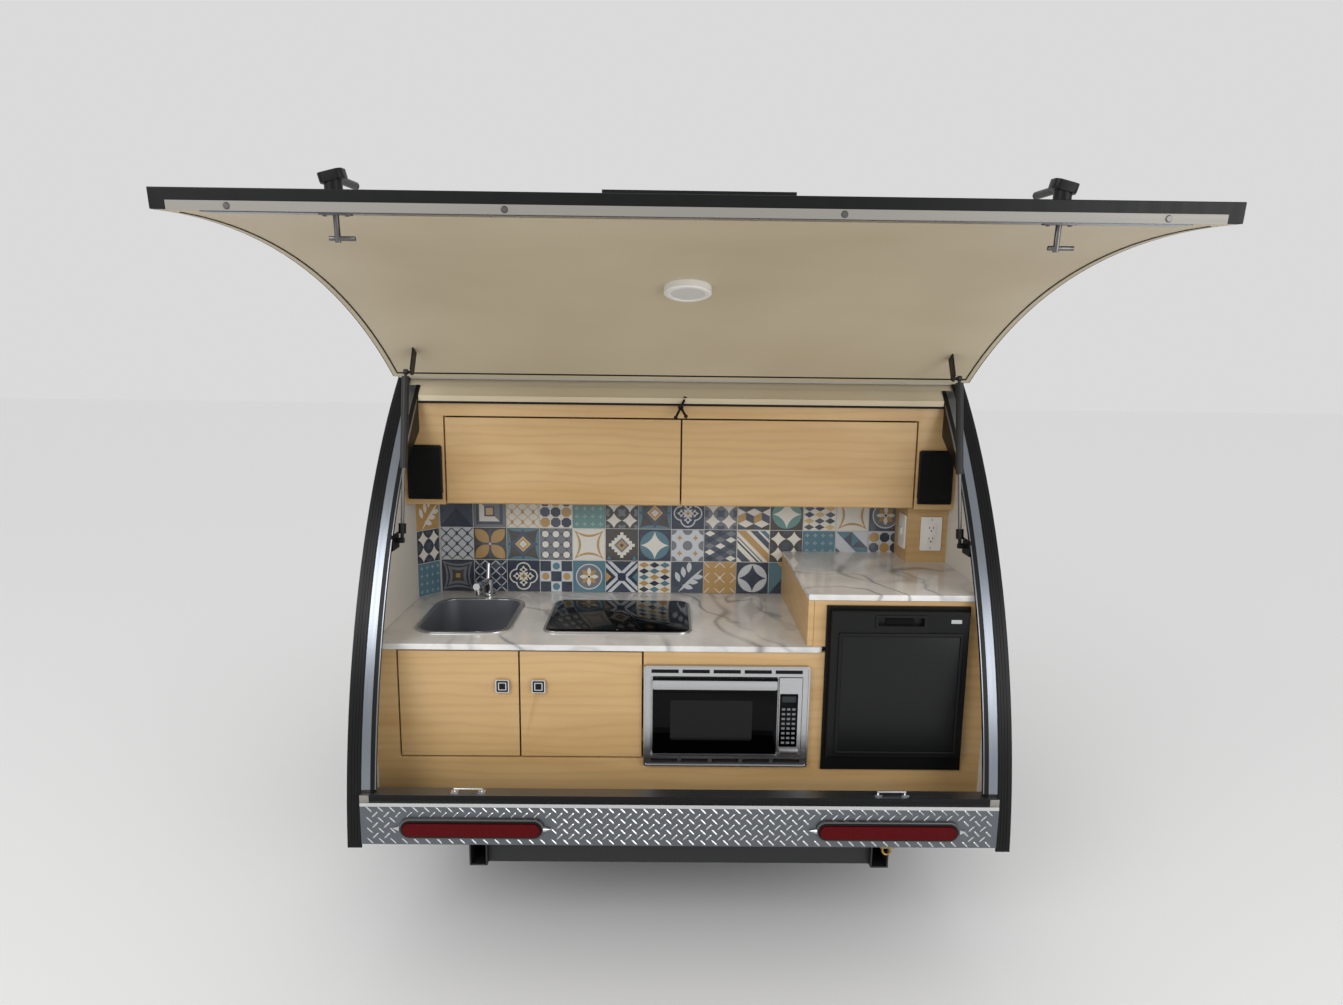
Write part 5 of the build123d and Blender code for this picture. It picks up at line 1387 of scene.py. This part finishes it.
# %% Side doors
DOOR_FACE_X, DOOR_LINING_X, HANDLE_X = 0.9206, 0.8925, 0.9385
KNUCKLE_RADIUS = 0.006
for side, sign in SIDES:
    fittings = bmesh.new()
    low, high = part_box("door_glass_" + side)
    middle = (low + high) / 2
    half = ((high.y - low.y) / 2, (high.z - low.z) / 2)
    clamped = (inset(half, 0.012), 0.049)
    outside = facing(side, (sign * DOOR_FACE_X, middle.y, middle.z))
    plate(fittings, outside, inset(half, -0.016), 0.075, -0.004, 0.003, clamped, 0, 0.0015)
    low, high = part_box("door_" + side)
    leaf_half = ((high.y - KNUCKLE_RADIUS - low.y) / 2, (high.z - low.z) / 2)
    leaf = facing(side, (sign * DOOR_FACE_X, low.y + leaf_half[0], low.z + leaf_half[1]))
    trim_hole = (inset(leaf_half, 0.016), 0.113)
    plate(fittings, leaf, inset(leaf_half, 0.008), 0.121, -0.001, 0.002, trim_hole, 0, 0.0008)
    inside = facing("left" if side == "right" else "right", (sign * DOOR_LINING_X, middle.y, middle.z))
    plate(fittings, inside, inset(half, -0.012), 0.071, -0.004, 0.0022, clamped, 0, 0.001)
    handle = facing(side, (sign * HANDLE_X, rear_plane_y + 1.621, 1.01))
    plate(fittings, handle, (0.0235, 0.0625), 0.009, -0.017, 0.0006, ((0.018, 0.057), 0.006), 0, 0.001)
    plate(fittings, shifted(handle, 0, 0.012), (0.015, 0.034), 0.006, -0.002, 0.004, None, 0, 0.0015)
    disc(fittings, handle @ Vector((0, -0.038, 0.001)), out_of(handle), 0.0085, 0.004, 1, 20)
    piece("door_fittings_" + side, fittings, [black_plastic, chrome], "door_" + side, "black_plastic")
    dressed("door_" + side, 0.0012)

# %% Roof vent
vent = bmesh.new()
place, half = box_frame("roof_vent_lid", "up")
plate(vent, place, inset(half, 0.045), 0.03, -0.001, 0.003, (inset(half, 0.052), 0.024), 0, 0.001)
for u in (-0.07, 0.0, 0.07):
    plate(vent, shifted(place, u, 0), (0.006, half[1] - 0.075), 0.005, -0.001, 0.0025, None, 0, 0.001)
lid_slot = slot_of_node["roof_vent_lid"]
piece("vent_ribs", vent, [FINISHES[lid_slot]], "vent_lid", lid_slot)

# %% Battery strap, bottle valve and brass loop
STRAP_HALF, STRAP_PROUD, STRAP_IN = 0.019, 0.001, 0.004
front = bmesh.new()
low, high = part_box("battery_box")
strap_y = (low.y + high.y) / 2
for near_x, far_x, foot_z, head_z in (
    (low.x - STRAP_PROUD, low.x + STRAP_IN, low.z + 0.01, high.z - 0.004),
    (high.x - STRAP_IN, high.x + STRAP_PROUD, low.z + 0.01, high.z - 0.004),
    (low.x - STRAP_PROUD, high.x + STRAP_PROUD, high.z - 0.006, high.z + 0.002),
):
    block(front, (near_x, strap_y - STRAP_HALF, foot_z), (far_x, strap_y + STRAP_HALF, head_z), 0.001)
block(front, (-0.03, strap_y - 0.024, high.z - 0.004), (0.03, strap_y + 0.024, high.z + 0.007), 0.002, 1)
low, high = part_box("gas_bottle")
middle = (low + high) / 2
valve = Vector((middle.x, middle.y, high.z - 0.055))
disc(front, valve + Z_AXIS * 0.03, Z_AXIS, 0.017, 0.03, 2, 20)
disc(front, valve + Z_AXIS * 0.05, Z_AXIS, 0.026, 0.012, 1, 10)
bar(front, valve + Z_AXIS * 0.025, valve + Vector((0, 0.045, 0.025)), 0.012, 2, 16)
piece("tongue_details", front, [seal_rubber, black_plastic, brass], "trailer", "black_plastic")

RING_RADIUS, WIRE_RADIUS = 0.012, 0.003
fitting = bmesh.new()
loop_at = Vector((0.575, rear_plane_y + 0.012, 0.374))
wire = [(WIRE_RADIUS * math.cos(a), RING_RADIUS + WIRE_RADIUS * math.sin(a))
        for a in [math.tau * i / 8 for i in range(8)]]
turned_ring(fitting, wire, loop_at, (0, 1, 0), 24)
block(fitting, loop_at + Vector((-0.02, -0.008, 0.009)), loop_at + Vector((0.02, 0.008, 0.0158)), 0.002)
piece("brass_loop", fitting, [brass], "trailer", "frame_steel")

# %% [markdown]
# ## Mattress
#
# The bed is a foam mattress in a cotton cover with a piped edge. A voxel copy of the plain block is blown
# up a little by cloth pressure, so that its faces swell, no point moving more than 9 mm.

# %% Mattress
MATTRESS_SWELL, MATTRESS_FILL, CELL_SIZE, SWELL_STEPS = 0.009, 0.85, 0.024, 15


def puffed(node):
    """Copy of a plain block, remeshed and swollen by a short cloth simulation."""
    made = bpy.data.objects.new(node + "_cushion", frame["nodes"][node].data.copy())
    bpy.context.scene.collection.objects.link(made)
    shape = bmesh.new()
    shape.from_mesh(made.data)
    bmesh.ops.remove_doubles(shape, verts=shape.verts, dist=1e-5)
    shape.to_mesh(made.data)
    shape.free()
    remesh = made.modifiers.new("cells", "REMESH")
    remesh.mode = "VOXEL"
    remesh.voxel_size = CELL_SIZE
    bpy.context.view_layer.objects.active = made
    bpy.ops.object.modifier_apply(modifier="cells")
    cloth = made.modifiers.new("swell", "CLOTH")
    cloth.settings.use_pressure = True
    cloth.settings.uniform_pressure_force = 4.0
    cloth.settings.effector_weights.gravity = 0.0
    before = [vert.co.copy() for vert in made.data.vertices]
    for step in range(1, SWELL_STEPS + 1):
        bpy.context.scene.frame_set(step)
    swollen = made.evaluated_get(bpy.context.evaluated_depsgraph_get()).to_mesh()
    moves = [vert.co - start for vert, start in zip(swollen.vertices, before)]
    made.modifiers.remove(cloth)
    for vert, start, move in zip(made.data.vertices, before, moves):
        vert.co = start + move * min(1.0, MATTRESS_SWELL / max(move.length, 1e-9))
    bpy.context.scene.frame_set(1)
    smoothing = made.modifiers.new("smoothing", "SUBSURF")
    smoothing.levels = smoothing.render_levels = 1
    return made


cushion = puffed("mattress")
cushion.data.materials.clear()
cushion.data.materials.append(mattress_cloth.material)
cushion.data.shade_smooth()
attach(cushion, body_of_node["mattress"])
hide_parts("mattress")
print("mattress faces", len(cushion.data.polygons))

# %% Mattress piping
piping = bmesh.new()
low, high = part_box("mattress")
half = ((high.x - low.x) / 2 - 0.004, (high.y - low.y) / 2 - 0.004)
for z in (low.z + 0.012, high.z - 0.012):
    place = facing("up", ((low.x + high.x) / 2, (low.y + high.y) / 2, z))
    plate(piping, place, half, 0.022, -0.004, 0.004, (inset(half, 0.008), 0.015), 0, 0.002)
piece("mattress_piping", piping, [mattress_cloth], body_of_node["mattress"], slot_of_node["mattress"])

# %% [markdown]
# ## Floor, light and camera
#
# A pale floor meets a background of the same grey, which the camera, glossy rays and rays through glass
# see, while the surfaces are lit by a white sky. Two soft discs add a little light from behind the camera,
# left and right. The camera has a wide lens and stands at the height of a person's eyes, a little over two
# metres behind the trailer's rear plane.

# %% Floor
bpy.ops.mesh.primitive_plane_add(size=60, location=(0, 0, 0))
floor = bpy.context.object
floor.name = "studio_floor"
floor.data.materials.append(Finish("studio_floor", "dcdcdc", 0.9).material)

# %% World
SEEN_GREY, SKY_STRENGTH = 0.703, 0.95
world = bpy.data.worlds.new("studio")
bpy.context.scene.world = world
world.use_nodes = True
nodes, links = world.node_tree.nodes, world.node_tree.links
light_path = nodes.new("ShaderNodeLightPath")
mix = nodes.new("ShaderNodeMixShader")
seen = nodes.new("ShaderNodeBackground")
seen.inputs["Color"].default_value = (SEEN_GREY, SEEN_GREY, SEEN_GREY, 1)
lit = nodes["Background"]
lit.inputs["Color"].default_value = (1, 1, 1, 1)
lit.inputs["Strength"].default_value = SKY_STRENGTH
seen_by = light_path.outputs["Is Camera Ray"]
for kind in ("Is Glossy Ray", "Is Transmission Ray"):
    either = nodes.new("ShaderNodeMath")
    either.operation = "MAXIMUM"
    links.new(seen_by, either.inputs[0])
    links.new(light_path.outputs[kind], either.inputs[1])
    seen_by = either.outputs[0]
links.new(seen_by, mix.inputs["Fac"])
links.new(lit.outputs[0], mix.inputs[1])
links.new(seen.outputs[0], mix.inputs[2])
links.new(mix.outputs[0], nodes["World Output"].inputs["Surface"])
print("world nodes", len(nodes))


# %% Soft lights
def soft_light(name, place, aim, size, power):
    light = bpy.data.lights.new(name, "AREA")
    light.shape = "DISK"
    light.size = size
    light.energy = power
    lamp = bpy.data.objects.new(name, light)
    bpy.context.scene.collection.objects.link(lamp)
    lamp.location = place
    lamp.rotation_euler = (Vector(aim) - Vector(place)).to_track_quat("-Z", "Y").to_euler()


soft_light("key", (-2.6, rear_plane_y - 3.2, 3.4), (0, rear_plane_y + 0.4, 1.0), 2.4, 70)
soft_light("fill", (2.4, rear_plane_y - 2.6, 1.8), (0, rear_plane_y + 0.5, 0.9), 2.0, 30)

# %% Camera
LENS = 22.21
CAMERA_X, CAMERA_BACK, CAMERA_Z = -0.0554, 2.0957, 1.7017
PITCH, YAW, ROLL = (math.radians(angle) for angle in (9.5243, -0.5632, 0.6994))
forward = Vector((-math.sin(YAW) * math.cos(PITCH), math.cos(YAW) * math.cos(PITCH), -math.sin(PITCH)))
level_right = Vector((math.cos(YAW), math.sin(YAW), 0))
level_up = level_right.cross(forward)
right = level_right * math.cos(ROLL) + level_up * math.sin(ROLL)
up = level_up * math.cos(ROLL) - level_right * math.sin(ROLL)
camera = bpy.data.objects.new("camera", bpy.data.cameras.new("camera"))
bpy.context.scene.collection.objects.link(camera)
camera.data.lens = LENS
camera.data.sensor_width = 36
turn = Matrix((right, up, -forward)).transposed().to_4x4()
camera.matrix_world = Matrix.Translation((CAMERA_X, rear_plane_y - CAMERA_BACK, CAMERA_Z)) @ turn
print("camera at", [round(value, 3) for value in camera.matrix_world.translation])
bpy.context.scene.camera = camera
bpy.context.scene.view_settings.view_transform = "Standard"
